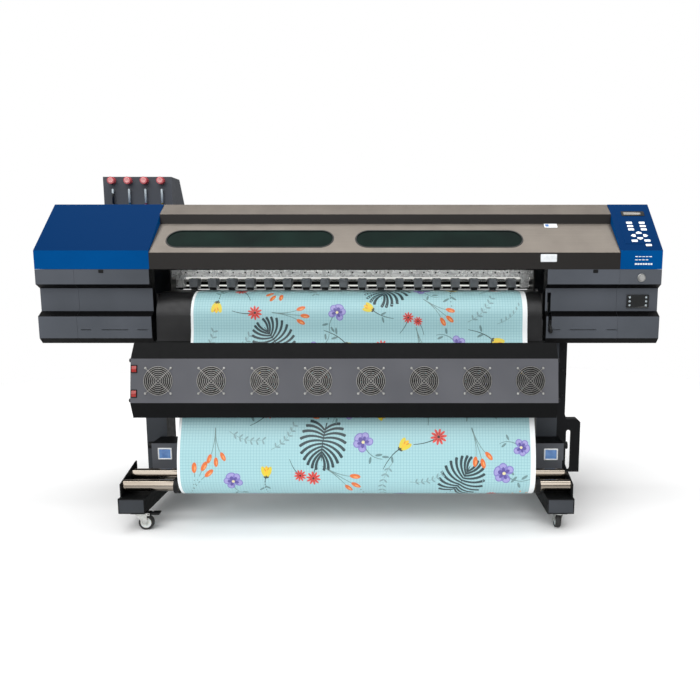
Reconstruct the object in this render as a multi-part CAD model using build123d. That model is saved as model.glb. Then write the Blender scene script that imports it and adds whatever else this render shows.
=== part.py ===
from build123d import *
import math
import os

# A roll-fed large-format printer and cutter for sign making, standing on a castored frame.
# X runs along the machine, Y runs from the operator (low) to the back (high), Z is up. Units are millimetres.
# Depths are first counted from the front face of the end housings; export shifts them so that the
# middle of the whole depth lies on Y = 0. The floor is Z = 0.

# ---- driving sizes -------------------------------------------------------------------------------
BODY_WIDTH = 2790.0  # over both end housings
BODY_DEPTH = 440.0  # front face of a housing to its back
OPENING_HALF = 885.0  # half the clear width between the two end housings
HOUSING_BOTTOM = 785.0  # underside of the end housings
HOUSING_TOP = 1118.0  # seam between the grey housings and the covers above them
CREASE_Z = 1201.0  # bend between the upright band and the slope of the blue covers
TOP_Z = 1419.0  # flat top of the machine
SLOPE_BACK = 213.0  # depth at which the blue slope meets the flat top
SHEET = 2.0  # steel sheet of the housings and covers
SEAM = 0.8  # open joint between neighbouring panels
CLEAR = 0.3  # gap kept between a moving piece and its neighbour
RUN = 0.08  # radial running clearance of shafts in their bores

GROOVE_DEPTH = 33.0  # how far the middle band of a housing is set back
BAND_HEIGHTS = (66.0, 19.0, 103.0, 22.0, 98.0)  # front face from its top: band, bevel, band, bevel, band
FOOT_BEVEL = 23.0  # set-back of the lowest edge
LEFT_SEAM_X = -1222.0
RIGHT_SEAM_X = 1209.0

PLATEN_Z = 1014.0  # upper face of the media bed
PLATEN_SHEET = 3.0
APRON_R = 110.0  # bend of the front apron
REAR_APRON_R = 74.0
APRON_FOOT = (19.0, 795.0)  # lower edge of the front apron
REAR_APRON_Y = BODY_DEPTH - 14.0
REAR_APRON_FOOT_Z = 840.0
ROLLER_LINE_Y = 275.0  # feed shaft and pinch rollers
FEED_R = 12.5
FEED_JOURNAL_R = 8.0

MEDIA_WIDTH = 1524.0  # a 60 inch roll
MEDIA_X = 45.0  # middle of the loaded media
MEDIA_T = 1.0

FOOT_X = 918.0
FOOT_W = 114.0
FOOT_FRONT = -244.0
FOOT_BACK = 554.0
FOOT_Z = 82.0
FOOT_H = 66.0
TUBE_WALL = 3.0
LEG_W = 97.0
LEG_FRONT = 96.0
LEG_D = 118.0
STRETCHER_DEPTH = 60.0
STRETCHER_Z = (530.0, 610.0)

CASTER_R = 32.0
CASTER_W = 24.0
CASTER_TRAIL = 26.0
CASTER_AXLE_R = 4.0
KINGPIN_R = 5.0
CASTER_PLATE_T = 4.0
FORK_T = 2.5

ROLLER_R = 25.0  # both rollers of the winder
FRONT_ROLLER = (-185.0, 188.0)
REAR_ROLLER = (-90.0, 206.0)
ROLLER_STUB_R = 12.0
SIDE_PLATE_T = 6.0
SIDE_PLATE_X = 975.0  # outer face of the winder's side plates
COLLAR_R = 34.0
COLLAR_W = 22.0

SUPPLY_AXIS = (513.0, 600.0)
SUPPLY_R = 85.0
CORE_R = 38.0
CORE_WALL = 7.0
SHAFT_R = 15.0
FLANGE_R = 100.0

DRYER_HALF = 885.0
DRYER_T = 2.0
FAN_COUNT = 8
FAN_PITCH = 220.0
FAN_SIZE = 120.0
FAN_DEPTH = 38.0
FAN_BORE_R = 57.0
FAN_HOLE_SPACING = 105.0
FAN_BLADES = 7
FAN_SPAN = 26.0  # length of the fan's hub
FAN_AHEAD = 3.0  # hub's middle in front of the casing's middle

COVER_T = 2.5
COVER_STEP_Y = 160.0  # depth of the cover's upright step
COVER_STEP_LOW = 1326.0
COVER_STEP_HIGH = 1369.5
COVER_CREASE_Z = 1192.0
HINGE_Y = 330.0
WINDOW_LENGTH = 755.0
WINDOW_HEIGHT = 121.0
WINDOW_PITCH = 857.0
WINDOW_MIDDLE_X = -21.0
WINDOW_T = 3.0
WINDOW_LAP = 12.0

PINCH_COUNT = 18
PINCH_PITCH = 91.0
PINCH_R = 11.0
PINCH_ROLLER_W = 30.0
PINCH_ARM_W = 40.0
PINCH_AXLE_R = 3.0
PINCH_SHAFT_R = 4.0
PINCH_SHAFT_BACK = 35.0  # pinch shaft behind the roller line
PINCH_SHAFT_Z = 1062.0
RAIL_LOW = 1078.0
RAIL_HIGH = 1112.0
RAIL_SHEET = 3.0
RAIL_HOLE_R = 4.0
RAIL_HOLE_PITCH = 57.6

BEAM_BOTTOM = HOUSING_BOTTOM + SHEET
BEAM_H = 100.0
BEAM_FRONT = 62.0
BEAM_BACK = BODY_DEPTH - 38.0
BEAM_WALL = 3.0
GUIDE_FRONT = 302.0
GUIDE_D = 60.0
GUIDE_H = 75.0
GUIDE_WALL = 4.0
GUIDE_RAIL_T = 5.0
CARRIAGE_W = 260.0
CARRIAGE_FRONT = 95.0
CARRIAGE_TOP = 1195.0
CARRIAGE_WALL = 3.0
CARRIAGE_X = 1060.0  # parked over the capping place, inside the right housing

LEVER_X = 904.0
LEVER_PIVOT = (110.0, 950.0)
LEVER_TIP = (-14.0, 852.0)
LEVER_T = 8.0
LEVER_PIN_R = 6.0
LEVER_SLOT_W = 16.0

TANK_X = (-1264.0, -920.0)
TANK_TOP = 1575.0
TANK_BOTTOM = 1250.0
TANK_TOP_D = 120.0
TANK_BASE_D = 200.0
TANK_WALL = 2.0
CAP_COUNT = 4
CAP_PITCH = 82.0
CAP_R = 18.0
CAP_T = 25.0
NECK_R = 12.0
NECK_H = 14.0
TUBE_R = 5.0
TUBE_BOTTOM = 1427.0
TUBE_TOP = 1510.0

BUTTON_R = 13.0
BUTTON_AT = (1305.0, 1081.0)
CONTROLLER_X = (1253.0, 1356.0)
CONTROLLER_Z = (944.0, 1005.0)
SWITCH_W = 20.0
SWITCH_H = 26.0
SWITCH_X = -870.0

# ---- sizes that follow from them -----------------------------------------------------------------
BODY_HALF = BODY_WIDTH / 2
BACKMOST = BODY_DEPTH + TANK_BASE_D
FOOT_TOP = FOOT_Z + FOOT_H
LEG_OUTER = FOOT_X + FOOT_W / 2 - 1.0
LEG_INNER = LEG_OUTER - LEG_W
BEAM_TOP = BEAM_BOTTOM + BEAM_H
STRETCHER_Y = tuple(LEG_FRONT + LEG_D / 2 + side * STRETCHER_DEPTH / 2 for side in (-1, 1))
MEDIA_X0 = MEDIA_X - MEDIA_WIDTH / 2
MEDIA_X1 = MEDIA_X + MEDIA_WIDTH / 2
MEDIA_TOP = PLATEN_Z + CLEAR + MEDIA_T
FEED_Z = PLATEN_Z + CLEAR / 2 - FEED_R
PINCH_Z = MEDIA_TOP + CLEAR + PINCH_R
PINCH_SHAFT_Y = ROLLER_LINE_Y + PINCH_SHAFT_BACK
RAIL_FRONT = ROLLER_LINE_Y - 25.0
FRAME_X = OPENING_HALF - 11.0  # inner faces of the two side frames
FRAME_T = 8.0
PLATEN_HALF = FRAME_X - SEAM
GUIDE_BOTTOM = RAIL_HIGH + 8.0
CARRIAGE_BOTTOM = MEDIA_TOP + 6.0
HEAD_BOTTOM = MEDIA_TOP + 2.5

# dryer section, listed from its lower back edge round the front to its upper back edge
DRYER_SECTION = [(-200.0, 516.0), (-254.0, 505.0), (-277.0, 573.0), (-248.0, 754.0), (-205.0, 815.0), (-128.0, 802.0)]
FACE_LOW, FACE_HIGH = DRYER_SECTION[2], DRYER_SECTION[3]
FACE_LEAN = math.degrees(math.atan2(FACE_HIGH[0] - FACE_LOW[0], FACE_HIGH[1] - FACE_LOW[1]))
FACE_MID = ((FACE_LOW[0] + FACE_HIGH[0]) / 2, (FACE_LOW[1] + FACE_HIGH[1]) / 2)
GUARD_T = 2.4
FRONTMOST = FACE_LOW[0]
Y_MIDDLE = (FRONTMOST + BACKMOST) / 2

BLUE_SLOPE = math.degrees(math.atan2(TOP_Z - CREASE_Z, SLOPE_BACK))
COVER_SLOPE = math.degrees(math.atan2(COVER_STEP_LOW - COVER_CREASE_Z, COVER_STEP_Y))
COVER_X0 = -OPENING_HALF + SEAM
COVER_X1 = RIGHT_SEAM_X - SEAM


# ---- helpers -------------------------------------------------------------------------------------
def block(x0, x1, y0, y1, z0, z1):
    """A plain box between two corners."""
    middle = ((x0 + x1) / 2, (y0 + y1) / 2, (z0 + z1) / 2)
    return Pos(*middle) * Box(abs(x1 - x0), abs(y1 - y0), abs(z1 - z0))


def rod(axis, centre, radius, length):
    """A cylinder centred on a point, along X, Y or Z."""
    turn = {"X": Rot(0, 90, 0), "Y": Rot(90, 0, 0), "Z": Rot(0, 0, 0)}[axis]
    return Pos(*centre) * turn * Cylinder(radius, length)


def section_plane(x):
    """The plane whose own axes are the machine's Y and Z, at a place along X."""
    return Plane(origin=(x, 0, 0), x_dir=(0, 1, 0), z_dir=(1, 0, 0))


def slab(points, x0, x1):
    """A polygon of (depth, height) points, carried from x0 to x1."""
    outline = section_plane(min(x0, x1)) * Polyline(*points, close=True)
    return extrude(make_face(outline), amount=abs(x1 - x0), dir=(1, 0, 0))


def side_step(points, distance):
    """The same open chain of points moved sideways, to the left of its direction of travel."""
    moved = []
    for i, (y, z) in enumerate(points):
        normals = []
        for a, b in ((i - 1, i), (i, i + 1)):
            if a < 0 or b >= len(points):
                continue
            dy, dz = points[b][0] - points[a][0], points[b][1] - points[a][1]
            run = math.hypot(dy, dz)
            normals.append((-dz / run, dy / run))
        ny, nz = (sum(n[k] for n in normals) for k in (0, 1))
        share = distance * len(normals) / (ny * ny + nz * nz)
        moved.append((y + ny * share, z + nz * share))
    return moved


def bent_sheet(points, thickness, x0, x1):
    """Sheet folded along an open chain of points; its thickness lies to the left of the chain."""
    return slab(points + side_step(points, thickness)[::-1], x0, x1)


def inset(points, distance):
    """A closed ring of points, running clockwise as seen from +X, drawn in by a distance."""
    return side_step([points[-1], *points, points[0]], -distance)[1:-1]


def turning(points, i):
    """Positive where the chain turns left at point i."""
    (ay, az), (by, bz), (cy, cz) = points[i - 1], points[i], points[i + 1]
    return (by - ay) * (cz - bz) - (bz - az) * (cy - by)


def rounded_strip(points, radii, thickness, x0, x1):
    """A strip of even thickness about a chain of points whose corners are rounded to the given radii."""
    sides = []
    for offset in (thickness / 2, -thickness / 2):
        bends = [r - offset * math.copysign(1, turning(points, i + 1)) for i, r in enumerate(radii)]
        sides.append(FilletPolyline(*side_step(points, offset), radius=bends))
    left, right = sides
    ends = [Line(left @ 0, right @ 0), Line(left @ 1, right @ 1)]
    outline = Wire(Curve() + [left, right] + ends)
    face = section_plane(min(x0, x1)) * make_face(outline)
    return extrude(face, amount=abs(x1 - x0), dir=(1, 0, 0))


def box_tube(x0, x1, y0, y1, z0, z1, wall, axis):
    """A rectangular tube, open at both ends of its axis."""
    inside = {
        "X": (x0 - 1, x1 + 1, y0 + wall, y1 - wall, z0 + wall, z1 - wall),
        "Y": (x0 + wall, x1 - wall, y0 - 1, y1 + 1, z0 + wall, z1 - wall),
        "Z": (x0 + wall, x1 - wall, y0 + wall, y1 - wall, z0 - 1, z1 + 1),
    }[axis]
    return block(x0, x1, y0, y1, z0, z1) - block(*inside)


def on_face(x, up, out):
    """A place on the dryer's leaning front face: along X, up the face from its middle, and out of it."""
    lean = math.radians(FACE_LEAN)
    y = FACE_MID[0] + up * math.sin(lean) - out * math.cos(lean)
    z = FACE_MID[1] + up * math.cos(lean) + out * math.sin(lean)
    return Pos(x, y, z) * Rot(-FACE_LEAN, 0, 0)


def on_slope(x, along, out, crease, angle):
    """A place on a sloping cover: along X, up the slope from its crease, and out of it."""
    lean = math.radians(angle)
    y = along * math.cos(lean) - out * math.sin(lean)
    z = crease + along * math.sin(lean) + out * math.cos(lean)
    return Pos(x, y, z) * Rot(angle, 0, 0)


def one(*solids):
    """Separate solids kept apart in one node."""
    return Compound(children=[s for part in solids for s in part.solids()])


# ---- stand ---------------------------------------------------------------------------------------
CASTER_SPOTS = {  # name: kingpin x, kingpin depth, direction in which the wheel trails
    "front_left": (-FOOT_X + 22, FOOT_FRONT + 31, 0),
    "front_right": (FOOT_X, FOOT_FRONT + 31, 90),
    "rear_left": (-FOOT_X, FOOT_BACK - 60, 62),
    "rear_right": (FOOT_X, FOOT_BACK - 60, 115),
}
FORK_TOP = FOOT_Z - CASTER_PLATE_T - 1.5
FORK_CROWN = FORK_TOP - 5.0
BRAKED = ("front_left", "front_right")
PEDAL_PIVOT = (CASTER_TRAIL + 14, FORK_CROWN)
PEDAL_PIN_R = 3.0


def feet():
    """Two floor tubes with plugged ends, and the fixed top plate and kingpin of each caster under them."""
    pieces = []
    for side in (-1, 1):
        x0, x1 = side * FOOT_X - FOOT_W / 2, side * FOOT_X + FOOT_W / 2
        pieces.append(box_tube(x0, x1, FOOT_FRONT, FOOT_BACK, FOOT_Z, FOOT_TOP, TUBE_WALL, "Y"))
        for y0, y1, stop in ((FOOT_FRONT, FOOT_FRONT + 14, -4), (FOOT_BACK - 14, FOOT_BACK, 4)):
            gap = TUBE_WALL + CLEAR / 2
            plug = block(x0 + gap, x1 - gap, y0, y1, FOOT_Z + gap, FOOT_TOP - gap)
            face_y = FOOT_FRONT if stop < 0 else FOOT_BACK
            lid = block(x0, x1, face_y, face_y + stop, FOOT_Z, FOOT_TOP)
            pieces.append(plug + lid)
    for x, y, _ in CASTER_SPOTS.values():
        plate = block(x - 30, x + 30, y - 30, y + 30, FOOT_Z - CASTER_PLATE_T, FOOT_Z)
        plate += rod("Z", (x, y, FORK_TOP - 1), KINGPIN_R, 2 * (FOOT_Z - FORK_TOP))
        pieces.append(plate)
    return one(*pieces)


def at_caster(spot):
    x, y, turn = CASTER_SPOTS[spot]
    return Pos(x, y, 0) * Rot(0, 0, turn)


def caster_fork(spot):
    """Swivelling fork, made with its wheel trailing along +X and then turned to its place."""
    half = CASTER_W / 2 + 2 + FORK_T
    crown = rod("Z", (0, 0, (FORK_TOP + FORK_CROWN) / 2), 22, FORK_TOP - FORK_CROWN)
    crown += block(0, CASTER_TRAIL + 8, -half, half, FORK_CROWN, FORK_CROWN + FORK_T)
    for side in (-1, 1):
        cheek = Polyline((-14, FORK_CROWN + 1), (CASTER_TRAIL + 8, FORK_CROWN + 1), (CASTER_TRAIL + 8, CASTER_R - 6),
                         (CASTER_TRAIL - 8, CASTER_R - 6), close=True)
        face = make_face(Plane(origin=(0, side * half, 0), x_dir=(1, 0, 0), z_dir=(0, -1, 0)) * cheek)
        crown += extrude(face, amount=FORK_T, dir=(0, -side, 0))
    if spot in BRAKED:
        x, z = PEDAL_PIVOT
        for side in (-1, 1):
            crown += block(x - 12, x + 6, *sorted((side * half, side * (half - FORK_T))), z - 6, z + 5.2)
        crown -= rod("Y", (x, 0, z), PEDAL_PIN_R + RUN, 60)
    crown -= rod("Z", (0, 0, FORK_TOP), KINGPIN_R + RUN, 40)
    axle = rod("Y", (CASTER_TRAIL, 0, CASTER_R), CASTER_AXLE_R, 2 * half + 6)
    crown -= axle
    return at_caster(spot) * one(crown, axle)


def caster_wheel(spot):
    """Hub and tyre, two solids that turn together on the fork's axle."""
    here = (CASTER_TRAIL, 0, CASTER_R)
    tyre = rod("Y", here, CASTER_R, CASTER_W) - rod("Y", here, CASTER_R - 8, CASTER_W + 2)
    tyre = fillet(tyre.edges().filter_by(GeomType.CIRCLE).sort_by(SortBy.RADIUS)[-2:], 4)
    hub = rod("Y", here, CASTER_R - 8, CASTER_W - 4) - rod("Y", here, CASTER_AXLE_R + RUN, CASTER_W + 2)
    return at_caster(spot) * one(tyre, hub)


def brake_pedal(spot):
    """Foot pedal behind the fork's crown, on a small cross pin."""
    x, z = PEDAL_PIVOT
    arm = block(x - 4, x + 44, -11, 11, z - 4, z + 4)
    tread = block(x + 16, x + 46, -15, 15, z + 1, z + 6)
    pin = rod("Y", (x, 0, z), PEDAL_PIN_R, CASTER_W + 10)
    return at_caster(spot) * (arm + tread + pin)


def legs():
    """Two upright box columns with a flange at each end."""
    pieces = []
    for side in (-1, 1):
        x0, x1 = sorted((side * LEG_INNER, side * LEG_OUTER))
        column = box_tube(x0, x1, LEG_FRONT, LEG_FRONT + LEG_D, FOOT_TOP, HOUSING_BOTTOM, TUBE_WALL, "Z")
        for z0 in (FOOT_TOP, HOUSING_BOTTOM - 6):
            column += block(x0, x1, LEG_FRONT, LEG_FRONT + LEG_D, z0, z0 + 6)
        pieces.append(column)
    return one(*pieces)


def stretcher():
    """Cross tube that ties the two columns together."""
    return box_tube(-LEG_INNER, LEG_INNER, *STRETCHER_Y, *STRETCHER_Z, TUBE_WALL, "X")


# ---- winder at the front -------------------------------------------------------------------------
def roller_side_plates():
    """Two plates on the feet that carry the winder's rollers."""
    fy, fz = FRONT_ROLLER
    ry, rz = REAR_ROLLER
    outline = [(fy - 37, FOOT_TOP), (fy - 37, fz + 16), (ry + 46, rz + 48), (ry + 46, FOOT_TOP)]
    pieces = []
    for side in (-1, 1):
        x0, x1 = sorted((side * SIDE_PLATE_X, side * (SIDE_PLATE_X - SIDE_PLATE_T)))
        plate = slab(outline, x0, x1)
        for y, z in (FRONT_ROLLER, REAR_ROLLER):
            plate -= rod("X", ((x0 + x1) / 2, y, z), ROLLER_STUB_R + RUN, 40)
        pieces.append(plate)
    return one(*pieces)


def winder_roller(at, collars):
    """Chromed tube with a stub at each end; the front one also carries the two core collars."""
    y, z = at
    inner = SIDE_PLATE_X - SIDE_PLATE_T - 1.0
    tube = rod("X", (0, y, z), ROLLER_R, 2 * inner) - rod("X", (0, y, z), ROLLER_R - 4, 2 * inner + 2)
    pieces = [tube]
    for side in (-1, 1):
        x = side * (inner + SIDE_PLATE_T + 1 - 30)
        stub = rod("X", (x, y, z), ROLLER_STUB_R, 60)
        stub += rod("X", (side * (inner - 16), y, z), ROLLER_R - 4, 30)
        pieces.append(stub)
    if collars:
        for x in (MEDIA_X0 - COLLAR_W / 2 - 8, MEDIA_X1 + COLLAR_W / 2 + 8):
            collar = rod("X", (x, y, z), COLLAR_R, COLLAR_W) - rod("X", (x, y, z), ROLLER_R, COLLAR_W + 2)
            pieces.append(collar)
    return one(*pieces)


MOTOR_BOX_X = {"left": (-908.0, -763.0), "right": (835.0, 980.0)}
MOTOR_BOX_TOP = 328.0
MOTOR_BOX_FRONT = -22.0
KNOB_AT = (18.0, 308.0)
KNOB_R = 17.0
KNOB_LENGTH = 22.0
KNOB_STUD_R = 4.0


def motor_boxes():
    """Two sheet boxes in front of the columns, each with a gear motor inside."""
    pieces = []
    for name, (x0, x1) in MOTOR_BOX_X.items():
        y1, z0 = LEG_FRONT, FOOT_TOP + 2
        box = block(x0, x1, MOTOR_BOX_FRONT, y1, z0, MOTOR_BOX_TOP)
        box -= block(x0 + SHEET, x1 - SHEET, MOTOR_BOX_FRONT + SHEET, y1 - SHEET, z0 + SHEET, MOTOR_BOX_TOP - SHEET)
        box -= rod("X", (x0 if name == "left" else x1, *KNOB_AT), KNOB_STUD_R + RUN, 40)
        motor = rod("X", ((x0 + x1) / 2, (MOTOR_BOX_FRONT + y1) / 2, z0 + SHEET + 36), 36, x1 - x0 - 2 * SHEET)
        pieces += [box, motor]
    return one(*pieces)


def clamp_knob(name):
    """Ribbed hand knob on a stud through the outer wall of a motor box."""
    x0, x1 = MOTOR_BOX_X[name]
    wall, out = (x0, -1) if name == "left" else (x1, 1)
    middle = wall + out * (KNOB_LENGTH / 2 + 3)
    head = rod("X", (middle, *KNOB_AT), KNOB_R, KNOB_LENGTH)
    for k in range(8):
        turn = math.radians(45 * k)
        y, z = KNOB_AT[0] + KNOB_R * math.cos(turn), KNOB_AT[1] + KNOB_R * math.sin(turn)
        head -= rod("X", (middle, y, z), 2.2, KNOB_LENGTH + 2)
    return head + rod("X", (wall + out * 2, *KNOB_AT), KNOB_STUD_R, 14)


SLOT_X = (1020.0, 1040.0)
SLOT_Z = (168.0, 360.0)
BRACKET_X = 1086.0
BRACKET_TOP = 412.0
BRACKET_BOTTOM = 154.0
BRACKET_NECK_X = 1011.0
BRACKET_T = 3.0
BRACKET_D = 48.0


def slotted_bracket():
    """Hanger plate on the outside of the right column, narrow above and wide below, with an upright slot."""
    x0, y0 = LEG_OUTER, LEG_FRONT
    outline = [(x0, BRACKET_BOTTOM), (BRACKET_X, BRACKET_BOTTOM), (BRACKET_X, BRACKET_TOP - 14), (BRACKET_X - 14, BRACKET_TOP),
               (BRACKET_NECK_X + 8, BRACKET_TOP), (BRACKET_NECK_X, BRACKET_TOP + 24), (BRACKET_NECK_X, HOUSING_BOTTOM),
               (x0, HOUSING_BOTTOM)]
    plane = Plane(origin=(0, y0 + BRACKET_T, 0), x_dir=(1, 0, 0), z_dir=(0, -1, 0))
    plate = extrude(make_face(plane * Polyline(*outline, close=True)), amount=BRACKET_T, dir=(0, -1, 0))
    middle = (SLOT_X[0] + SLOT_X[1]) / 2
    radius = (SLOT_X[1] - SLOT_X[0]) / 2
    slot = block(*SLOT_X, y0 - 5, y0 + 10, SLOT_Z[0] + radius, SLOT_Z[1] - radius)
    for z in (SLOT_Z[0] + radius, SLOT_Z[1] - radius):
        slot += rod("Y", (middle, y0, z), radius, 20)
    plate -= slot
    plate += block(BRACKET_NECK_X + 8, BRACKET_X - 14, y0, y0 + BRACKET_D, BRACKET_TOP - BRACKET_T, BRACKET_TOP)
    plate += block(BRACKET_X - BRACKET_T, BRACKET_X, y0, y0 + BRACKET_D, BRACKET_BOTTOM, BRACKET_TOP - 14)
    plate += block(x0, x0 + BRACKET_T, y0, y0 + LEG_D, BRACKET_BOTTOM, HOUSING_BOTTOM)
    return plate


# ---- media and its supply ------------------------------------------------------------------------
BED_CHAIN = [APRON_FOOT, (APRON_FOOT[0] + 13.0, PLATEN_Z), (REAR_APRON_Y, PLATEN_Z), (REAR_APRON_Y, REAR_APRON_FOOT_Z)]


def media_chain():
    """Centre line of the loaded media, from the supply roll over the bed and down to the winder."""
    lift = CLEAR + MEDIA_T / 2
    bed = side_step(BED_CHAIN, lift)
    fy, fz = FRONT_ROLLER
    ry, rz = REAR_ROLLER
    wrap = ROLLER_R + CLEAR + MEDIA_T / 2
    low, out = fz - ROLLER_R - 23, fy - ROLLER_R - 32
    chain = [(bed[3][0], SUPPLY_AXIS[1]), bed[2], bed[1], (bed[0][0], bed[0][1] - 4), (-185, 480), (out, 340),
             (out, low), (ry + wrap, low), (ry + wrap, rz + 8)]
    radii = [REAR_APRON_R + lift, APRON_R + lift, 240, 260, 400, 105, rz - low]
    return chain, radii


def media_web():
    """The loaded media, one thin strip."""
    chain, radii = media_chain()
    return rounded_strip(chain, radii, MEDIA_T, MEDIA_X0, MEDIA_X1)


def supply_roll():
    """Wound media on its core, carried by a shaft with two clamping flanges."""
    y, z = SUPPLY_AXIS
    wound = rod("X", (MEDIA_X, y, z), SUPPLY_R, MEDIA_WIDTH) - rod("X", (MEDIA_X, y, z), CORE_R, MEDIA_WIDTH + 2)
    core = rod("X", (MEDIA_X, y, z), CORE_R, MEDIA_WIDTH) - rod("X", (MEDIA_X, y, z), CORE_R - CORE_WALL, MEDIA_WIDTH + 2)
    shaft = rod("X", (0, y, z), SHAFT_R, 2 * (LEG_INNER + 10))
    pieces = [wound, core, shaft]
    for x, out in ((MEDIA_X0, -1), (MEDIA_X1, 1)):
        flange = rod("X", (x + out * (3 + SEAM), y, z), FLANGE_R, 6)
        flange += rod("X", (x - out * 25, y, z), CORE_R - CORE_WALL, 50)
        flange -= rod("X", (x, y, z), SHAFT_R, 200)
        pieces.append(flange)
    return one(*pieces)


def supply_brackets():
    """Two arms on the inner faces of the columns that hold the supply shaft behind the machine."""
    y, z = SUPPLY_AXIS
    pieces = []
    for side in (-1, 1):
        x0, x1 = sorted((side * LEG_INNER, side * (LEG_INNER - 6)))
        arm = slab([(LEG_FRONT + 10, z - 40), (y + 30, z - 30), (y + 30, z + 30), (LEG_FRONT + 10, z + 40)], x0, x1)
        arm -= rod("X", (x0, y, z), SHAFT_R + RUN, 40)
        around = (STRETCHER_Y[0] - 1, STRETCHER_Y[1] + 1, STRETCHER_Z[0] - 1, STRETCHER_Z[1] + 1)
        pieces.append(arm - block(x0 - 1, x1 + 1, *around))
    return one(*pieces)


# ---- dryer ---------------------------------------------------------------------------------------
def fan_places():
    return [(k - (FAN_COUNT - 1) / 2) * FAN_PITCH for k in range(FAN_COUNT)]


def dryer_housing():
    """Folded trough open towards the media, with an end plate and a hanging arm at each end."""
    trough = bent_sheet(DRYER_SECTION, -DRYER_T, -DRYER_HALF + 3, DRYER_HALF - 3)
    for x in fan_places():
        trough -= on_face(x, 0, 0) * Rot(90, 0, 0) * Cylinder(FAN_BORE_R + 1, 20)
    for up in SWITCH_UP:
        trough -= on_face(SWITCH_X, up, 0) * Box(SWITCH_W, 20, SWITCH_H + 1)
    pieces = [trough]
    ly, lz = LEG_FRONT, 690
    for side in (-1, 1):
        x0, x1 = sorted((side * DRYER_HALF, side * (DRYER_HALF - 3)))
        pieces.append(slab(DRYER_SECTION, x0, x1))
        a0, a1 = sorted((side * DRYER_HALF, side * (DRYER_HALF + 6)))
        arm = slab([(-215, lz - 30), (-215, lz + 30), (ly, lz + 10), (ly, lz - 50)], a0, a1)
        f0, f1 = sorted((side * DRYER_HALF, side * (LEG_OUTER - 20)))
        pieces.append(arm + block(f0, f1, ly - 4, ly, lz - 50, lz + 10))
    return one(*pieces)


SWITCH_UP = (49.0, -53.0)


def rocker(up):
    """A rocker key, highest in the middle, set in a window of the front face."""
    z, deep, crown = SWITCH_H / 2 - CLEAR, 5.0, 4.0
    half = SWITCH_W / 2 - CLEAR
    outline = [(deep, -z), (-2.0, -z), (-crown, 0), (-2.0, z), (deep, z)]
    return on_face(SWITCH_X, up, 0) * slab(outline, -half, half)


def heater_lamps():
    """Two long quartz lamps between the end plates, facing the media."""
    length = 2 * (DRYER_HALF - 3)
    return one(rod("X", (0, -172, 600), 8, length), rod("X", (0, -150, 730), 8, length))


def fan_frame(x):
    """Square fan casing behind the front sheet: bore, three struts and the motor cup."""
    depth = FAN_DEPTH
    frame = Box(FAN_SIZE, depth, FAN_SIZE)
    frame = fillet(frame.edges().filter_by(Axis.Y), 8)
    frame -= Rot(90, 0, 0) * Cylinder(FAN_BORE_R, depth + 2)
    for turn in (30, 150, 270):
        frame += Rot(0, turn, 0) * Pos(FAN_BORE_R / 2 + 2, depth / 2 - 2, 0) * Box(FAN_BORE_R, 4, 5)
    cup = depth / 2 - FAN_SPAN / 2 + FAN_AHEAD - CLEAR
    frame += Pos(0, (depth - cup) / 2, 0) * Rot(90, 0, 0) * Cylinder(20, cup)
    return on_face(x, 0, -DRYER_T - depth / 2) * frame


def fan_impeller(x):
    """Hub and raked blades on the fan's axis."""
    hub = Rot(90, 0, 0) * Cylinder(19, FAN_SPAN)
    for k in range(FAN_BLADES):
        blade = Pos(36, 0, 0) * Rot(35, 0, 0) * Box(36, 2, 26)
        hub += Rot(0, 360 * k / FAN_BLADES, 0) * blade
    hub = hub & (Rot(90, 0, 0) * Cylinder(FAN_BORE_R - 3, FAN_SPAN))
    return on_face(x, 0, -DRYER_T - FAN_DEPTH / 2 + FAN_AHEAD) * hub


def fan_guards():
    """Eight wire guards: rings on two crossed stays, screwed at the four corners."""
    flat = Sketch() + [Circle(r + 1.2) - Circle(r - 1.2) for r in (12, 20, 28, 36, 44, 52, 59)]
    reach = FAN_HOLE_SPACING * math.sqrt(2) + 8
    for turn in (45, 135):
        flat += Rot(0, 0, turn) * Rectangle(reach, 2.4)
    half = FAN_HOLE_SPACING / 2
    for sx in (-1, 1):
        for sy in (-1, 1):
            flat += Pos(sx * half, sy * half) * Circle(5)
    guard = Rot(90, 0, 0) * extrude(flat, amount=GUARD_T)
    return one(*[on_face(x, 0, 0) * guard for x in fan_places()])


# ---- body ----------------------------------------------------------------------------------------
def front_chain():
    """The folded front of a housing, from its top seam down to its underside."""
    a, b, c, d, e = BAND_HEIGHTS
    z = HOUSING_TOP
    chain = [(0, z), (0, z - a), (GROOVE_DEPTH, z - a - b), (GROOVE_DEPTH, z - a - b - c), (0, z - a - b - c - d)]
    return chain + [(0, z - a - b - c - d - e), (FOOT_BEVEL, HOUSING_BOTTOM)]


def housing_chain():
    return front_chain() + [(BODY_DEPTH, HOUSING_BOTTOM), (BODY_DEPTH, HOUSING_TOP)]


SLITS = ((906, 952), (993, 1112), (1160, 1206))
SLIT_Z = 848.0


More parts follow.
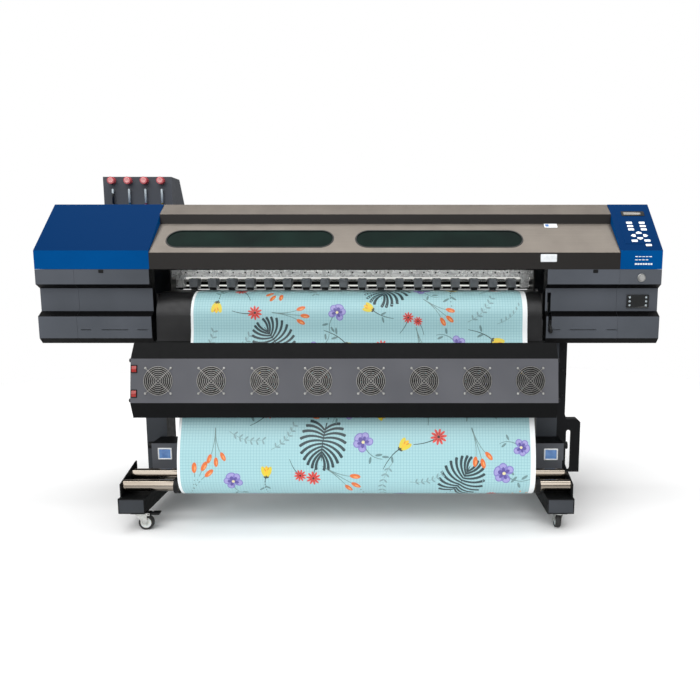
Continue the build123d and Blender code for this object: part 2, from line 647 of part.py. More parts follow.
def end_housing(side):
    """Grey sheet housing in two lengths, with its outer end wall and an inner cheek at the front."""
    seam = -LEFT_SEAM_X if side < 0 else RIGHT_SEAM_X
    spans = [(OPENING_HALF, seam - SEAM / 2), (seam + SEAM / 2, BODY_HALF)]
    near, far = [bent_sheet(housing_chain(), SHEET, *sorted((side * a, side * b))) for a, b in spans]
    inner = side_step(housing_chain(), SHEET)
    far += slab(inner, *sorted((side * BODY_HALF, side * (BODY_HALF - SHEET))))
    cheek = side_step(front_chain(), SHEET)
    cheek = cheek[:-1] + [(cheek[-1][0], BEAM_BOTTOM), (BEAM_FRONT - 2, BEAM_BOTTOM), (BEAM_FRONT - 2, HOUSING_TOP)]
    near += slab(cheek, *sorted((side * OPENING_HALF, side * (OPENING_HALF + SHEET))))
    for a, b in SLITS:
        near -= block(*sorted((side * a, side * b)), -5, 10, SLIT_Z - 1.5, SLIT_Z + 1.5)
    pieces = [near, far]
    if side > 0:
        near -= block(LEVER_X - LEVER_SLOT_W / 2, LEVER_X + LEVER_SLOT_W / 2, -5, GROOVE_DEPTH + 6, LEVER_TIP[1] - 14,
                      LEVER_TIP[1] + 162)
        far -= rod("Y", (BUTTON_AT[0], 0, BUTTON_AT[1]), BUTTON_R + CLEAR, 20)
        controller = block(*CONTROLLER_X, GROOVE_DEPTH - 3, GROOVE_DEPTH, *CONTROLLER_Z)
        inlet = block(1250, 1300, BODY_DEPTH, BODY_DEPTH + 10, 860, 895)
        pieces = [near, far, controller, inlet]
    return one(*pieces)


def top_cover(side):
    """Blue lid over a housing: upright band, slope, flat top and back, closed at its outer end."""
    base = HOUSING_TOP + SEAM
    chain = [(0, base), (0, CREASE_Z), (SLOPE_BACK, TOP_Z), (BODY_DEPTH, TOP_Z), (BODY_DEPTH, base)]
    edge = OPENING_HALF if side < 0 else RIGHT_SEAM_X
    lid = bent_sheet(chain, -SHEET, *sorted((side * edge, side * BODY_HALF)))
    inner = side_step(chain, -SHEET)
    lid += slab(inner, *sorted((side * BODY_HALF, side * (BODY_HALF - SHEET))))
    window = [(55, base - 1), (55, 1206), (200, 1318), (385, 1318), (385, base - 1)]
    cheek = slab(inner, *sorted((side * edge, side * (edge + SHEET))))
    lid += cheek - slab(window, side * edge - 5, side * edge + 5)
    if side > 0:
        length = math.hypot(SLOPE_BACK, TOP_Z - CREASE_Z)
        overlay = on_slope(1300, length / 2 + 6, 0.6, CREASE_Z, BLUE_SLOPE) * Box(126, length - 70, 1.2)
        return one(lid, overlay)
    return one(lid)


def cover_chain():
    return [(0, HOUSING_TOP + SEAM), (0, COVER_CREASE_Z), (COVER_STEP_Y, COVER_STEP_LOW), (COVER_STEP_Y, COVER_STEP_HIGH),
            (COVER_STEP_Y + 65, TOP_Z), (HINGE_Y, TOP_Z)]


def window_outline(length, height, thickness):
    """A flat slab with half-round ends."""
    return extrude(SlotOverall(length, height), amount=thickness / 2, both=True)


def window_places():
    return [WINDOW_MIDDLE_X - WINDOW_PITCH / 2, WINDOW_MIDDLE_X + WINDOW_PITCH / 2]


def slope_middle():
    return math.hypot(COVER_STEP_Y, COVER_STEP_LOW - COVER_CREASE_Z) / 2 - 7.0


def front_cover():
    """Long hinged cover with two window openings and a stiffening cheek at each end."""
    cover = bent_sheet(cover_chain(), -COVER_T, COVER_X0, COVER_X1)
    for x in window_places():
        place = on_slope(x, slope_middle(), -COVER_T / 2, COVER_CREASE_Z, COVER_SLOPE)
        cover -= place * window_outline(WINDOW_LENGTH, WINDOW_HEIGHT, 20)
    inner = side_step(cover_chain(), -COVER_T)
    cheek = inner + [(HINGE_Y - 20, 1385), (190, 1330), (55, 1216), (30, 1180), (30, HOUSING_TOP + SEAM)]
    for x0, x1 in ((COVER_X0, COVER_X0 + COVER_T), (COVER_X1 - COVER_T, COVER_X1)):
        cover += slab(cheek, x0, x1)
    return cover


def cover_windows():
    """Two tinted panes bonded under the window openings."""
    panes = []
    for x in window_places():
        place = on_slope(x, slope_middle(), -COVER_T - WINDOW_T / 2, COVER_CREASE_Z, COVER_SLOPE)
        panes.append(place * window_outline(WINDOW_LENGTH + 2 * WINDOW_LAP, WINDOW_HEIGHT + 2 * WINDOW_LAP, WINDOW_T))
    return one(*panes)


def rear_cover():
    """Fixed cover behind the hinge, folded down over the back."""
    chain = [(HINGE_Y + 4, TOP_Z), (BODY_DEPTH, TOP_Z), (BODY_DEPTH, HOUSING_TOP + SEAM)]
    return bent_sheet(chain, -SHEET, -OPENING_HALF, RIGHT_SEAM_X)


def base_beam():
    """Chassis beam through both housings, and the bracket with the pin of the lift lever."""
    half = BODY_HALF - SHEET
    beam = box_tube(-half, half, BEAM_FRONT, BEAM_BACK, BEAM_BOTTOM, BEAM_TOP, BEAM_WALL, "X")
    x, (y, z) = LEVER_X + LEVER_T / 2 + 1, LEVER_PIVOT
    bracket = block(x, x + 6, y - 20, y + 20, BEAM_TOP, z + 16)
    bracket += rod("X", (LEVER_X + 3, y, z), LEVER_PIN_R, LEVER_T + 8)
    return one(beam, bracket)


def side_frames():
    """Two plates on the chassis beam that carry the feed shaft, the pinch rail and the guide beam."""
    y0, y1 = RAIL_FRONT - 14, GUIDE_FRONT
    outline = [(BEAM_FRONT, BEAM_TOP), (BEAM_FRONT, PLATEN_Z - 6), (y0, PLATEN_Z - 6), (y0, RAIL_HIGH), (y1, RAIL_HIGH),
               (y1, GUIDE_BOTTOM), (y1 + GUIDE_D, GUIDE_BOTTOM), (y1 + GUIDE_D, PLATEN_Z - 6), (BEAM_BACK, PLATEN_Z - 30),
               (BEAM_BACK, BEAM_TOP)]
    pieces = []
    for side in (-1, 1):
        x0, x1 = sorted((side * FRAME_X, side * (FRAME_X + FRAME_T)))
        plate = slab(outline, x0, x1)
        plate -= rod("X", (x0, ROLLER_LINE_Y, FEED_Z), FEED_JOURNAL_R + RUN, 40)
        plate -= rod("X", (x0, PINCH_SHAFT_Y, PINCH_SHAFT_Z), PINCH_SHAFT_R + RUN, 40)
        pieces.append(plate)
    return pieces


def platen():
    """Media bed with its two rounded aprons, and the side frames under and beside it."""
    bed = rounded_strip(side_step(BED_CHAIN, -PLATEN_SHEET / 2), [APRON_R - PLATEN_SHEET / 2, REAR_APRON_R - PLATEN_SHEET / 2],
                        PLATEN_SHEET, -PLATEN_HALF, PLATEN_HALF)
    gap = FEED_R + 2
    bed -= block(-PLATEN_HALF + 8, PLATEN_HALF - 8, ROLLER_LINE_Y - gap, ROLLER_LINE_Y + gap, PLATEN_Z - 10, PLATEN_Z + 5)
    ribs = []
    for x in (-600, -200, 200, 600):
        rib = block(x - 2, x + 2, APRON_R + 50, BEAM_BACK - REAR_APRON_R, BEAM_TOP, PLATEN_Z - PLATEN_SHEET)
        ribs.append(rib - rod("X", (x, ROLLER_LINE_Y, FEED_Z), FEED_R + 4, 20))
    return one(bed, *side_frames(), *ribs)


def feed_roller():
    """Grit shaft under the bed's slot, with a journal at each end."""
    y, z = ROLLER_LINE_Y, FEED_Z
    shaft = rod("X", (0, y, z), FEED_R, 2 * (PLATEN_HALF - 10)) + rod("X", (0, y, z), FEED_JOURNAL_R, 2 * (FRAME_X + FRAME_T))
    pulley = rod("X", (FRAME_X + FRAME_T + 12, y, z), 20, 14) + rod("X", (FRAME_X + FRAME_T + 4, y, z), FEED_JOURNAL_R, 10)
    return shaft + pulley


def pinch_places():
    return [(k - (PINCH_COUNT - 1) / 2) * PINCH_PITCH for k in range(PINCH_COUNT)]


def pinch_rail():
    """Perforated steel angle over the pinch rollers, with a stop block near each end."""
    chain = [(RAIL_FRONT, RAIL_LOW), (RAIL_FRONT, RAIL_HIGH), (GUIDE_FRONT - 4, RAIL_HIGH)]
    rail = bent_sheet(chain, -RAIL_SHEET, -FRAME_X, FRAME_X)
    count = int(2 * (FRAME_X - 60) / RAIL_HOLE_PITCH)
    for k in range(count + 1):
        x = (k - count / 2) * RAIL_HOLE_PITCH
        rail -= rod("Y", (x, RAIL_FRONT, RAIL_HIGH - 12), RAIL_HOLE_R, 20)
    blocks = [block(x - 20, x + 20, RAIL_FRONT, RAIL_FRONT + 32, PLATEN_Z + 14, RAIL_LOW) for x in (-835, 835)]
    return one(rail, *blocks)


def pinch_arms():
    """Spring arms on one cross shaft, each with a pocket for its roller."""
    y0, y1 = ROLLER_LINE_Y - 18, PINCH_SHAFT_Y + 8
    low, high = PINCH_Z + 2, PINCH_SHAFT_Z + 9
    pieces = [rod("X", (0, PINCH_SHAFT_Y, PINCH_SHAFT_Z), PINCH_SHAFT_R, 2 * (FRAME_X + FRAME_T))]
    for x in pinch_places():
        arm = slab([(y0, low), (y1 - 14, low), (y1, PINCH_SHAFT_Z - 8), (y1, high), (y0, high)], x - PINCH_ARM_W / 2, x + PINCH_ARM_W / 2)
        ears = block(x - PINCH_ARM_W / 2, x + PINCH_ARM_W / 2, ROLLER_LINE_Y - 7, ROLLER_LINE_Y + 7, PINCH_Z - 6, low)
        arm += ears
        pocket = PINCH_ROLLER_W / 2 + 1
        arm -= rod("X", (x, ROLLER_LINE_Y, PINCH_Z), PINCH_R + 1, 2 * pocket)
        arm -= block(x - pocket, x + pocket, ROLLER_LINE_Y - 12, ROLLER_LINE_Y + 12, PINCH_Z - 10, PINCH_Z)
        arm -= rod("X", (x, ROLLER_LINE_Y, PINCH_Z), PINCH_AXLE_R + RUN, PINCH_ARM_W + 2)
        pieces.append(arm - pieces[0])
    return one(*pieces)


def pinch_rollers():
    """Rubber rollers with their axles."""
    pieces = []
    for x in pinch_places():
        at = (x, ROLLER_LINE_Y, PINCH_Z)
        pieces.append(rod("X", at, PINCH_R, PINCH_ROLLER_W) + rod("X", at, PINCH_AXLE_R, PINCH_ARM_W - 1))
    return one(*pieces)


def lift_lever():
    """Hand lever that lifts the pinch rollers, with a grip outside the housing's slot."""
    (py, pz), (ty, tz) = LEVER_PIVOT, LEVER_TIP
    run = math.hypot(ty - py, tz - pz)
    angle = math.degrees(math.atan2(tz - pz, ty - py))
    here = Pos(LEVER_X, py, pz) * Rot(angle, 0, 0)
    bar = Pos(0, run / 2, 0) * Box(LEVER_T, run, 14) + Rot(0, 90, 0) * Cylinder(14, LEVER_T)
    bar -= Rot(0, 90, 0) * Cylinder(LEVER_PIN_R + RUN, LEVER_T + 2)
    grip = Pos(0, run + 4, 0) * Box(13, 26, 20)
    grip = fillet(grip.edges().filter_by(Axis.Y), 4)
    return here * (bar + grip)


def guide_beam():
    """Guide tube for the carriage, its rail, and a hanger to the chassis in each housing."""
    half = BODY_HALF - SHEET - 40
    z1 = GUIDE_BOTTOM + GUIDE_H
    beam = box_tube(-half, half, GUIDE_FRONT, GUIDE_FRONT + GUIDE_D, GUIDE_BOTTOM, z1, GUIDE_WALL, "X")
    rail = block(-half, half, GUIDE_FRONT - GUIDE_RAIL_T, GUIDE_FRONT, GUIDE_BOTTOM + 30, GUIDE_BOTTOM + 45)
    posts = [block(x - 4, x + 4, GUIDE_FRONT, GUIDE_FRONT + GUIDE_D, BEAM_TOP, GUIDE_BOTTOM) for x in (-half + 20, half - 20)]
    return one(beam, rail, *posts)


def carriage():
    """Print carriage: open box with two heads, hung on the guide rail by an angle plate."""
    x0, x1 = CARRIAGE_X - CARRIAGE_W / 2, CARRIAGE_X + CARRIAGE_W / 2
    y0, y1 = CARRIAGE_FRONT, RAIL_FRONT - 16
    tub = block(x0, x1, y0, y1, CARRIAGE_BOTTOM, CARRIAGE_TOP)
    wall = CARRIAGE_WALL
    tub -= block(x0 + wall, x1 - wall, y0 + wall, y1 - wall, CARRIAGE_BOTTOM + wall, CARRIAGE_TOP + 1)
    back = GUIDE_FRONT - GUIDE_RAIL_T - CLEAR
    plate = block(x0, x1, y1, back, RAIL_HIGH + 5, RAIL_HIGH + 11)
    plate += block(x0, x1, back - 6, back, RAIL_HIGH + 5, CARRIAGE_TOP)
    heads = []
    for x in (CARRIAGE_X - 45, CARRIAGE_X + 45):
        hole = block(x - 18, x + 18, y0 + 30, y1 - 30, CARRIAGE_BOTTOM - 1, CARRIAGE_BOTTOM + wall + 1)
        tub -= hole
        heads.append(block(x - 18, x + 18, y0 + 30, y1 - 30, HEAD_BOTTOM, CARRIAGE_BOTTOM + 55))
    return one(tub, plate, *heads)


BLADE_AT = (CARRIAGE_X - CARRIAGE_W / 2 - 14, CARRIAGE_FRONT + 60)


def blade_holder():
    """Cutting blade holder on the side of the carriage, in a slide plate of its own."""
    x, y = BLADE_AT
    low = MEDIA_TOP + 4.5
    body = rod("Z", (x, y, low + 45), 10, 80) + Pos(x, y, low + 2.5) * Cone(0.6, 10, 5)
    return body + block(x, x + 13.7, y - 9, y + 9, low + 25, low + 75)


# ---- ink supply and controls ---------------------------------------------------------------------
def cap_places():
    middle = (TANK_X[0] + TANK_X[1]) / 2
    return [middle + (k - (CAP_COUNT - 1) / 2) * CAP_PITCH for k in range(CAP_COUNT)]


CAP_Z = TANK_TOP - CAP_R - 2


def ink_tank():
    """Sheet case on the back of the left housing, with filler necks, ink bottles and sight tubes."""
    y0 = BODY_DEPTH
    case = [(y0, TANK_BOTTOM), (y0, TANK_TOP), (y0 + TANK_TOP_D, TANK_TOP), (y0 + TANK_BASE_D, TANK_TOP - 150),
            (y0 + TANK_BASE_D, TANK_BOTTOM)]
    x0, x1 = TANK_X
    hollow = slab(case, x0, x1) - slab(inset(case, TANK_WALL), x0 + TANK_WALL, x1 - TANK_WALL)
    tubes, bottles = [], []
    for x in cap_places():
        hollow += rod("Y", (x, y0 - NECK_H / 2 + 1, CAP_Z), NECK_R, NECK_H + 2)
        bottles.append(block(x - 36, x + 36, y0 + 10, y0 + 105, TANK_BOTTOM + TANK_WALL, CAP_Z - 30))
        tube = rod("Z", (x + 2, y0 - 11, (TUBE_BOTTOM + TUBE_TOP) / 2), TUBE_R, TUBE_TOP - TUBE_BOTTOM)
        for z in (TUBE_BOTTOM + 9, TUBE_TOP - 9):
            tube += rod("Y", (x + 2, y0 - 6, z), 4, 12)
        tubes.append(tube)
    return one(hollow, *bottles, *tubes)


def ink_cap(k):
    """Push-on filler cap with finger grooves."""
    x, y = cap_places()[k], BODY_DEPTH - 1.5
    cap = rod("Y", (x, y - CAP_T / 2, CAP_Z), CAP_R, CAP_T)
    cap -= rod("Y", (x, y - NECK_H / 2, CAP_Z), NECK_R + CLEAR, NECK_H + 2)
    for g in range(12):
        turn = math.radians(30 * g)
        cap -= rod("Y", (x + CAP_R * math.cos(turn), y - CAP_T / 2, CAP_Z + CAP_R * math.sin(turn)), 1.4, CAP_T + 2)
    return cap


def power_button():
    """Round push button in the outer part of the right housing."""
    x, z = BUTTON_AT
    return rod("Y", (x, 3, z), BUTTON_R, 18)


# ---- export --------------------------------------------------------------------------------------
def nodes():
    made = {
        "feet": feet(), "legs": legs(), "stretcher": stretcher(),
        "roller_side_plates": roller_side_plates(),
        "front_winder_roller": winder_roller(FRONT_ROLLER, True),
        "rear_winder_roller": winder_roller(REAR_ROLLER, False),
        "motor_boxes": motor_boxes(),
        "left_clamp_knob": clamp_knob("left"), "right_clamp_knob": clamp_knob("right"),
        "slotted_bracket": slotted_bracket(),
        "media_web": media_web(), "supply_roll": supply_roll(), "supply_brackets": supply_brackets(),
        "dryer_housing": dryer_housing(), "heater_lamps": heater_lamps(),
        "upper_rocker_switch": rocker(SWITCH_UP[0]), "lower_rocker_switch": rocker(SWITCH_UP[1]),
        "fan_frames": one(*[fan_frame(x) for x in fan_places()]), "fan_guards": fan_guards(),
        "base_beam": base_beam(), "left_end_housing": end_housing(-1), "right_end_housing": end_housing(1),
        "left_top_cover": top_cover(-1), "right_top_cover": top_cover(1),
        "front_cover": front_cover(), "cover_windows": cover_windows(), "rear_cover": rear_cover(),
        "platen": platen(), "feed_roller": feed_roller(), "pinch_rail": pinch_rail(),
        "pinch_arms": pinch_arms(), "pinch_rollers": pinch_rollers(), "lift_lever": lift_lever(),
        "guide_beam": guide_beam(), "carriage": carriage(), "blade_holder": blade_holder(),
        "ink_tank": ink_tank(), "power_button": power_button(),
    }
    for spot in CASTER_SPOTS:
        made["caster_fork_" + spot] = caster_fork(spot)
        made["caster_wheel_" + spot] = caster_wheel(spot)
    for spot in BRAKED:
        made["brake_pedal_" + spot] = brake_pedal(spot)
    for k, x in enumerate(fan_places()):
        made[f"fan_impeller_{k + 1}"] = fan_impeller(x)
    for k in range(CAP_COUNT):
        made[f"ink_cap_{k + 1}"] = ink_cap(k)
    return made


os.makedirs("parts", exist_ok=True)
for name, shape in nodes().items():
    export_step(Pos(0, -Y_MIDDLE, 0) * shape, f"parts/{name}.step")
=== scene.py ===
import math

import bpy
import numpy as np
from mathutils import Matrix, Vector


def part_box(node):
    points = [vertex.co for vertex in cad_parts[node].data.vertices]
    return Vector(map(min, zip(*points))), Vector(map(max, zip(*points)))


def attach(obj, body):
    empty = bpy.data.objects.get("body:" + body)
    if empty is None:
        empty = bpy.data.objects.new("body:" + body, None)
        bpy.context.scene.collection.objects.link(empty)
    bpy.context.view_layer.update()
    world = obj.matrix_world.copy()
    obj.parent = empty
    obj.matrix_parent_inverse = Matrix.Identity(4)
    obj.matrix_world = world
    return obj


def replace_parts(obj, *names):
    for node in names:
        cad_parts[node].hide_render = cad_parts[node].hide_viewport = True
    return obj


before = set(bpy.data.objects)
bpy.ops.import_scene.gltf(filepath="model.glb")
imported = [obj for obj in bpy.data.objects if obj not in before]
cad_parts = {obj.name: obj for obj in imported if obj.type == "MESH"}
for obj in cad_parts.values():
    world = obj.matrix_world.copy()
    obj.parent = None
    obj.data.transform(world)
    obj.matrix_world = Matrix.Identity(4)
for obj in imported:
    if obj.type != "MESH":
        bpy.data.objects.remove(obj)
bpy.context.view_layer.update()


# ---- Room ----------------------------------------------------------------------------------------
# A white studio. The light is dim from the room and strong from a broad soft key light in front and
# above, and a long lamp hangs over the machine, so that its top faces catch a wide highlight.

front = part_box("left_end_housing")[0][1]

camera = bpy.data.objects.new("camera", bpy.data.cameras.new("camera"))
camera.data.lens = 33.0
camera.data.sensor_width = 36.0
camera.data.shift_x = -0.0714
camera.data.clip_end = 200.0
camera.location = (0.230, front - 2.874, 1.150)
camera.rotation_euler = (math.radians(90 - 7.8), 0, 0)
bpy.context.collection.objects.link(camera)
bpy.context.scene.camera = camera
bpy.context.scene.view_settings.view_transform = "Standard"


def add(tree, kind, options=None, inputs=None):
    """Adds a node, sets its options, and gives each named input a value or a link."""
    node = tree.nodes.new(kind)
    for name, value in (options or {}).items():
        setattr(node, name, value)
    for name, value in (inputs or {}).items():
        value = value.outputs[0] if isinstance(value, bpy.types.Node) else value
        if isinstance(value, bpy.types.NodeSocket):
            tree.links.new(value, node.inputs[name])
        else:
            node.inputs[name].default_value = value
    return node


room = bpy.data.worlds.new("room")
room.use_nodes = True
walls = room.node_tree.nodes["Background"]
walls.inputs["Color"].default_value = (1, 1, 1, 1)
seen = add(room.node_tree, "ShaderNodeLightPath")
strength = add(room.node_tree, "ShaderNodeMapRange", None, {
    "Value": seen.outputs["Is Camera Ray"], "To Min": 0.42, "To Max": 1.0})
room.node_tree.links.new(strength.outputs[0], walls.inputs["Strength"])
bpy.context.scene.world = room


def light(kind, name, place, aim, energy, **options):
    """A light at a place, turned so that it looks at the aim."""
    data = bpy.data.lights.new(name, kind)
    data.energy = energy
    for option, value in options.items():
        setattr(data, option, value)
    lamp = bpy.data.objects.new(name, data)
    lamp.location = place
    way = np.subtract(aim, place)
    lamp.rotation_euler = (math.atan2(math.hypot(way[0], way[1]), -way[2]), 0, math.atan2(-way[0], way[1]))
    bpy.context.collection.objects.link(lamp)


light("SUN", "key", (-1.5, -5.0, 5.2), (0, 0, 0), 2.3, angle=math.radians(70))
light("AREA", "overhead", (0.0, 0.1, 4.4), (0.0, 0.1, 1.0), 120, shape="RECTANGLE", size=6.0, size_y=1.6)


# ---- Powder-coated steel -------------------------------------------------------------------------
# The housings, stand and dryer are folded steel sheet with a baked polyester powder coat. It has a
# fine even grit, a low sheen and slight clouds of tone. The housings are cool dark grey.

def linear(code):
    """An sRGB hex colour as linear RGBA: c / 12.92 up to 0.04045, else ((c + 0.055) / 1.055) ** 2.4."""
    c = np.array([int(code[k:k + 2], 16) for k in (1, 3, 5)]) / 255
    c = np.where(c <= 0.04045, c / 12.92, ((c + 0.055) / 1.055) ** 2.4)
    return (*c, 1.0)


def start(name, roughness, metallic=0.0, **values):
    """A new material with plain values on its shader; returns material, node tree and shader."""
    material = bpy.data.materials.new(name)
    material.use_nodes = True
    shader = material.node_tree.nodes["Principled BSDF"]
    values = {"Roughness": roughness, "Metallic": metallic, **values}
    for socket, value in values.items():
        shader.inputs[socket.replace("_", " ")].default_value = value
    return material, material.node_tree, shader


def clouds(tree, size, detail=2.0, stretch=(1.0, 1.0, 1.0)):
    """Noise in the object's own space, its blobs about size metres wide and longer where stretch is above 1."""
    place = add(tree, "ShaderNodeTexCoord")
    scale = [1 / s for s in stretch]
    drawn = add(tree, "ShaderNodeMapping", None, {"Vector": place.outputs["Object"], "Scale": scale})
    return add(tree, "ShaderNodeTexNoise", None, {"Vector": drawn, "Scale": 1 / size, "Detail": detail})


def surface(name, roughness, dark, light, size, stretch=(1, 1, 1), gloss=None, grain=None, metallic=0.0,
            **values):
    """A material whose colour, gloss and relief follow clouds. The colour runs from dark to light as its
    noise goes from 0.3 to 0.7. Gloss is a size with the roughness at 0.3 and at 0.7, and grain is a size
    with a bump's depth in metres; either may end with the noise's own detail and stretch."""
    material, tree, shader = start(name, roughness, metallic, **values)
    ramp = add(tree, "ShaderNodeValToRGB", None, {"Fac": clouds(tree, size, 2.0, stretch)})
    for stop, place, code in zip(ramp.color_ramp.elements, (0.3, 0.7), (dark, light)):
        stop.position = place
        stop.color = linear(code)
    tree.links.new(ramp.outputs[0], shader.inputs["Base Color"])
    if gloss:
        size, low, high, *more = gloss
        span = {"Value": clouds(tree, size, *more), "From Min": 0.3, "From Max": 0.7, "To Min": low,
                "To Max": high}
        tree.links.new(add(tree, "ShaderNodeMapRange", None, span).outputs[0], shader.inputs["Roughness"])
    if grain:
        size, depth, *more = grain
        bump = add(tree, "ShaderNodeBump", None, {"Height": clouds(tree, size, *more), "Distance": depth})
        tree.links.new(bump.outputs[0], shader.inputs["Normal"])
    return material


def powder_coat(name, dark, light, roughness=0.48):
    """Clouds 300 mm wide in the tone, 20 mm in the gloss, and a 3 mm grit, coarser than the real 0.5 mm."""
    return surface(name, roughness, dark, light, 0.3, gloss=(0.02, roughness - 0.05, roughness + 0.07),
                   grain=(0.003, 0.00006, 1.0), Specular_IOR_Level=0.09)


def dress(material, *nodes):
    """Puts a material on every slot of the named CAD nodes."""
    for node in nodes:
        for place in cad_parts[node].material_slots:
            place.material = material


def black_where(material, other, test):
    """Mixes the coat's colour to another one where a test of the surface's normal and place is above 0."""
    tree = material.node_tree
    shader = tree.nodes["Principled BSDF"]
    first = shader.inputs["Base Color"].links[0].from_socket
    spot = add(tree, "ShaderNodeTexCoord")
    facing = add(tree, "ShaderNodeSeparateXYZ", None, {"Vector": spot.outputs["Normal"]})
    place = add(tree, "ShaderNodeSeparateXYZ", None, {"Vector": spot.outputs["Object"]})
    mix = add(tree, "ShaderNodeMix", {"data_type": "RGBA"}, {
        0: test(tree, facing, place), 6: first, 7: linear(other)})
    tree.links.new(mix.outputs[2], shader.inputs["Base Color"])
    return material


def tilted(tree, facing, place):
    """1 on a face that looks up or down by more than a few degrees, such as a groove's bevel."""
    steep = add(tree, "ShaderNodeMath", {"operation": "ABSOLUTE"}, {0: facing.outputs["Z"]})
    return add(tree, "ShaderNodeMath", {"operation": "GREATER_THAN"}, {0: steep, 1: 0.15})


def tilted_or_inner(tree, facing, place):
    """1 on a tilted face, and on the cheeks that close the housings towards the media."""
    side = add(tree, "ShaderNodeMath", {"operation": "ABSOLUTE"}, {0: place.outputs["X"]})
    inner = add(tree, "ShaderNodeMath", {"operation": "LESS_THAN"}, {0: side, 1: 0.8875})
    return add(tree, "ShaderNodeMath", {"operation": "MAXIMUM"}, {0: tilted(tree, facing, place), 1: inner})


# Powder coat: cool grey and nearly matt. The bevels that tilt up or down and the inner cheeks are
# painted black: painted shade that draws the grooves.
housing_grey_painted_shade = powder_coat("polyester powder coat, slate grey, bevels black", "#4a4e54", "#54585f")
dress(black_where(housing_grey_painted_shade, "#020203", tilted_or_inner), "left_end_housing", "right_end_housing")
dress(powder_coat("polyester powder coat, slate grey", "#4a4d52", "#54575d"), "ink_tank")


# ---- Catches, screws, power button and temperature controller ------------------------------------
# Small fittings on the housings: black moulded catches under the covers, domed zinc screws, a turned
# ring round the power button, and a black glass touch panel with six lit marks.

def weave(rows, columns, round_columns=False, round_rows=False):
    """Quads between neighbours of a grid of points; a round direction joins its last line to its first."""
    r = np.arange(rows if round_rows else rows - 1)[:, None]
    c = np.arange(columns if round_columns else columns - 1)[None, :]
    r, c = np.broadcast_arrays(r, c)
    up, on = (r + 1) % rows, (c + 1) % columns
    return np.stack([r * columns + c, r * columns + on, up * columns + on, up * columns + c], -1).reshape(-1, 4)


def place_at(points, origin, across, up):
    """Points moved to an origin, with X along across, Y along up and Z along their cross product."""
    across = np.asarray(across, float) / np.linalg.norm(across)
    up = np.asarray(up, float) / np.linalg.norm(up)
    return np.asarray(points) @ np.array([across, up, np.cross(across, up)]) + np.asarray(origin, float)


def join(parts):
    """Several (points, list of face arrays) as one, with the later faces counted on."""
    points, faces, start_at = [], [], 0
    for some_points, some_faces in parts:
        points.append(np.asarray(some_points).reshape(-1, 3))
        faces += [np.asarray(f) + start_at for f in some_faces]
        start_at += len(points[-1])
    return np.concatenate(points), faces


def make(name, shape, material, body, smooth=True):
    """A piece from (points, list of face arrays), which rides on a body and takes the given material."""
    points, faces = shape
    mesh = bpy.data.meshes.new(name)
    mesh.from_pydata(np.asarray(points).reshape(-1, 3).tolist(), [], sum((f.tolist() for f in faces), []))
    mesh.materials.append(material)
    mesh.polygons.foreach_set("use_smooth", np.full(len(mesh.polygons), smooth))
    piece = bpy.data.objects.new(name, mesh)
    bpy.context.collection.objects.link(piece)
    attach(piece, body)
    return piece


def turned(profile, count=32):
    """A solid of revolution about Z: (r cos a, r sin a, h) for each (r, h), with both ends capped."""
    r, h = np.array(profile, float).T[:, :, None]
    a = np.linspace(0, 2 * np.pi, count, endpoint=False)
    points = np.stack([r * np.cos(a), r * np.sin(a), h + 0 * a], -1).reshape(-1, 3)
    ends = np.array([np.arange(count)[::-1], np.arange(count) + (len(profile) - 1) * count])
    return points, [weave(len(profile), count, True), ends]


def hoop(profile, count=48, flip=False):
    """A ring about Z whose section is a closed loop of (r, h) pairs; flip turns its faces round."""
    r, h = np.array(profile, float).T[:, :, None]
    a = np.linspace(0, 2 * np.pi, count, endpoint=False)
    points = np.stack([r * np.cos(a), r * np.sin(a), h + 0 * a], -1).reshape(-1, 3)
    faces = weave(len(profile), count, True, True)
    return points, [faces[:, ::-1] if flip else faces]


def tablet(width, height, depth, corner, edge, steps=5):
    """A plate with rounded corners that rises along +Z from the X-Y plane and has a softened rim.
    Each ring is four quarter circles about the same corner centres, smaller as the rim rolls in."""
    quarter = np.repeat(np.arange(4), steps)
    angle = quarter * np.pi / 2 + np.tile(np.linspace(0, np.pi / 2, steps), 4)
    side_x = np.array([1, -1, -1, 1])[quarter] * (width / 2 - corner)
    side_y = np.array([1, 1, -1, -1])[quarter] * (height / 2 - corner)
    roll = np.linspace(0, np.pi / 2, 4)
    inset = np.concatenate([[0], edge * (1 - np.cos(roll))])[:, None]
    rise = np.concatenate([[0], depth - edge + edge * np.sin(roll)])[:, None]
    radius = np.maximum(corner - inset, 0.00002)
    points = np.stack([side_x + radius * np.cos(angle), side_y + radius * np.sin(angle), rise + 0 * angle], -1)
    count = len(angle)
    ends = np.array([np.arange(count)[::-1], np.arange(count) + 4 * count])
    return points.reshape(-1, 3), [weave(5, count, True), ends]


def facing_front(shape, x, y, z):
    """A flat fitting moved to a place on an upright face that looks towards the operator."""
    return place_at(shape[0], (x, y, z), (1, 0, 0), (0, 0, 1)), shape[1]


def screw(radius):
    """A low pan head with a round socket."""
    outline = [(1, 0), (1, 0.25), (0.8, 0.5), (0.42, 0.58), (0.38, 0.55), (0.34, 0.2)]
    return turned([(r * radius, h * radius) for r, h in outline], 16)


# Moulded black plastic: a deep soft black whose edges show only by a dull glint.
black_abs = surface("injection-moulded ABS, black", 0.45, "#0a0b0c", "#121314", 0.05,
                    grain=(0.002, 0.00004), Specular_IOR_Level=0.2)

# Zinc plate: bright grey-white, its gloss broken into small dull patches.
zinc = surface("zinc-plated steel", 0.3, "#a9aaa6", "#c9cac8", 0.015, gloss=(0.008, 0.24, 0.4), metallic=1.0)

groove = front + 0.033
catches = [facing_front(tablet(0.022, 0.015, 0.0012, 0.003, 0.0004), x, front, 1.1095) for x in (-1.1, 1.1)]
make("cover_catches", join(catches), black_abs, "frame")

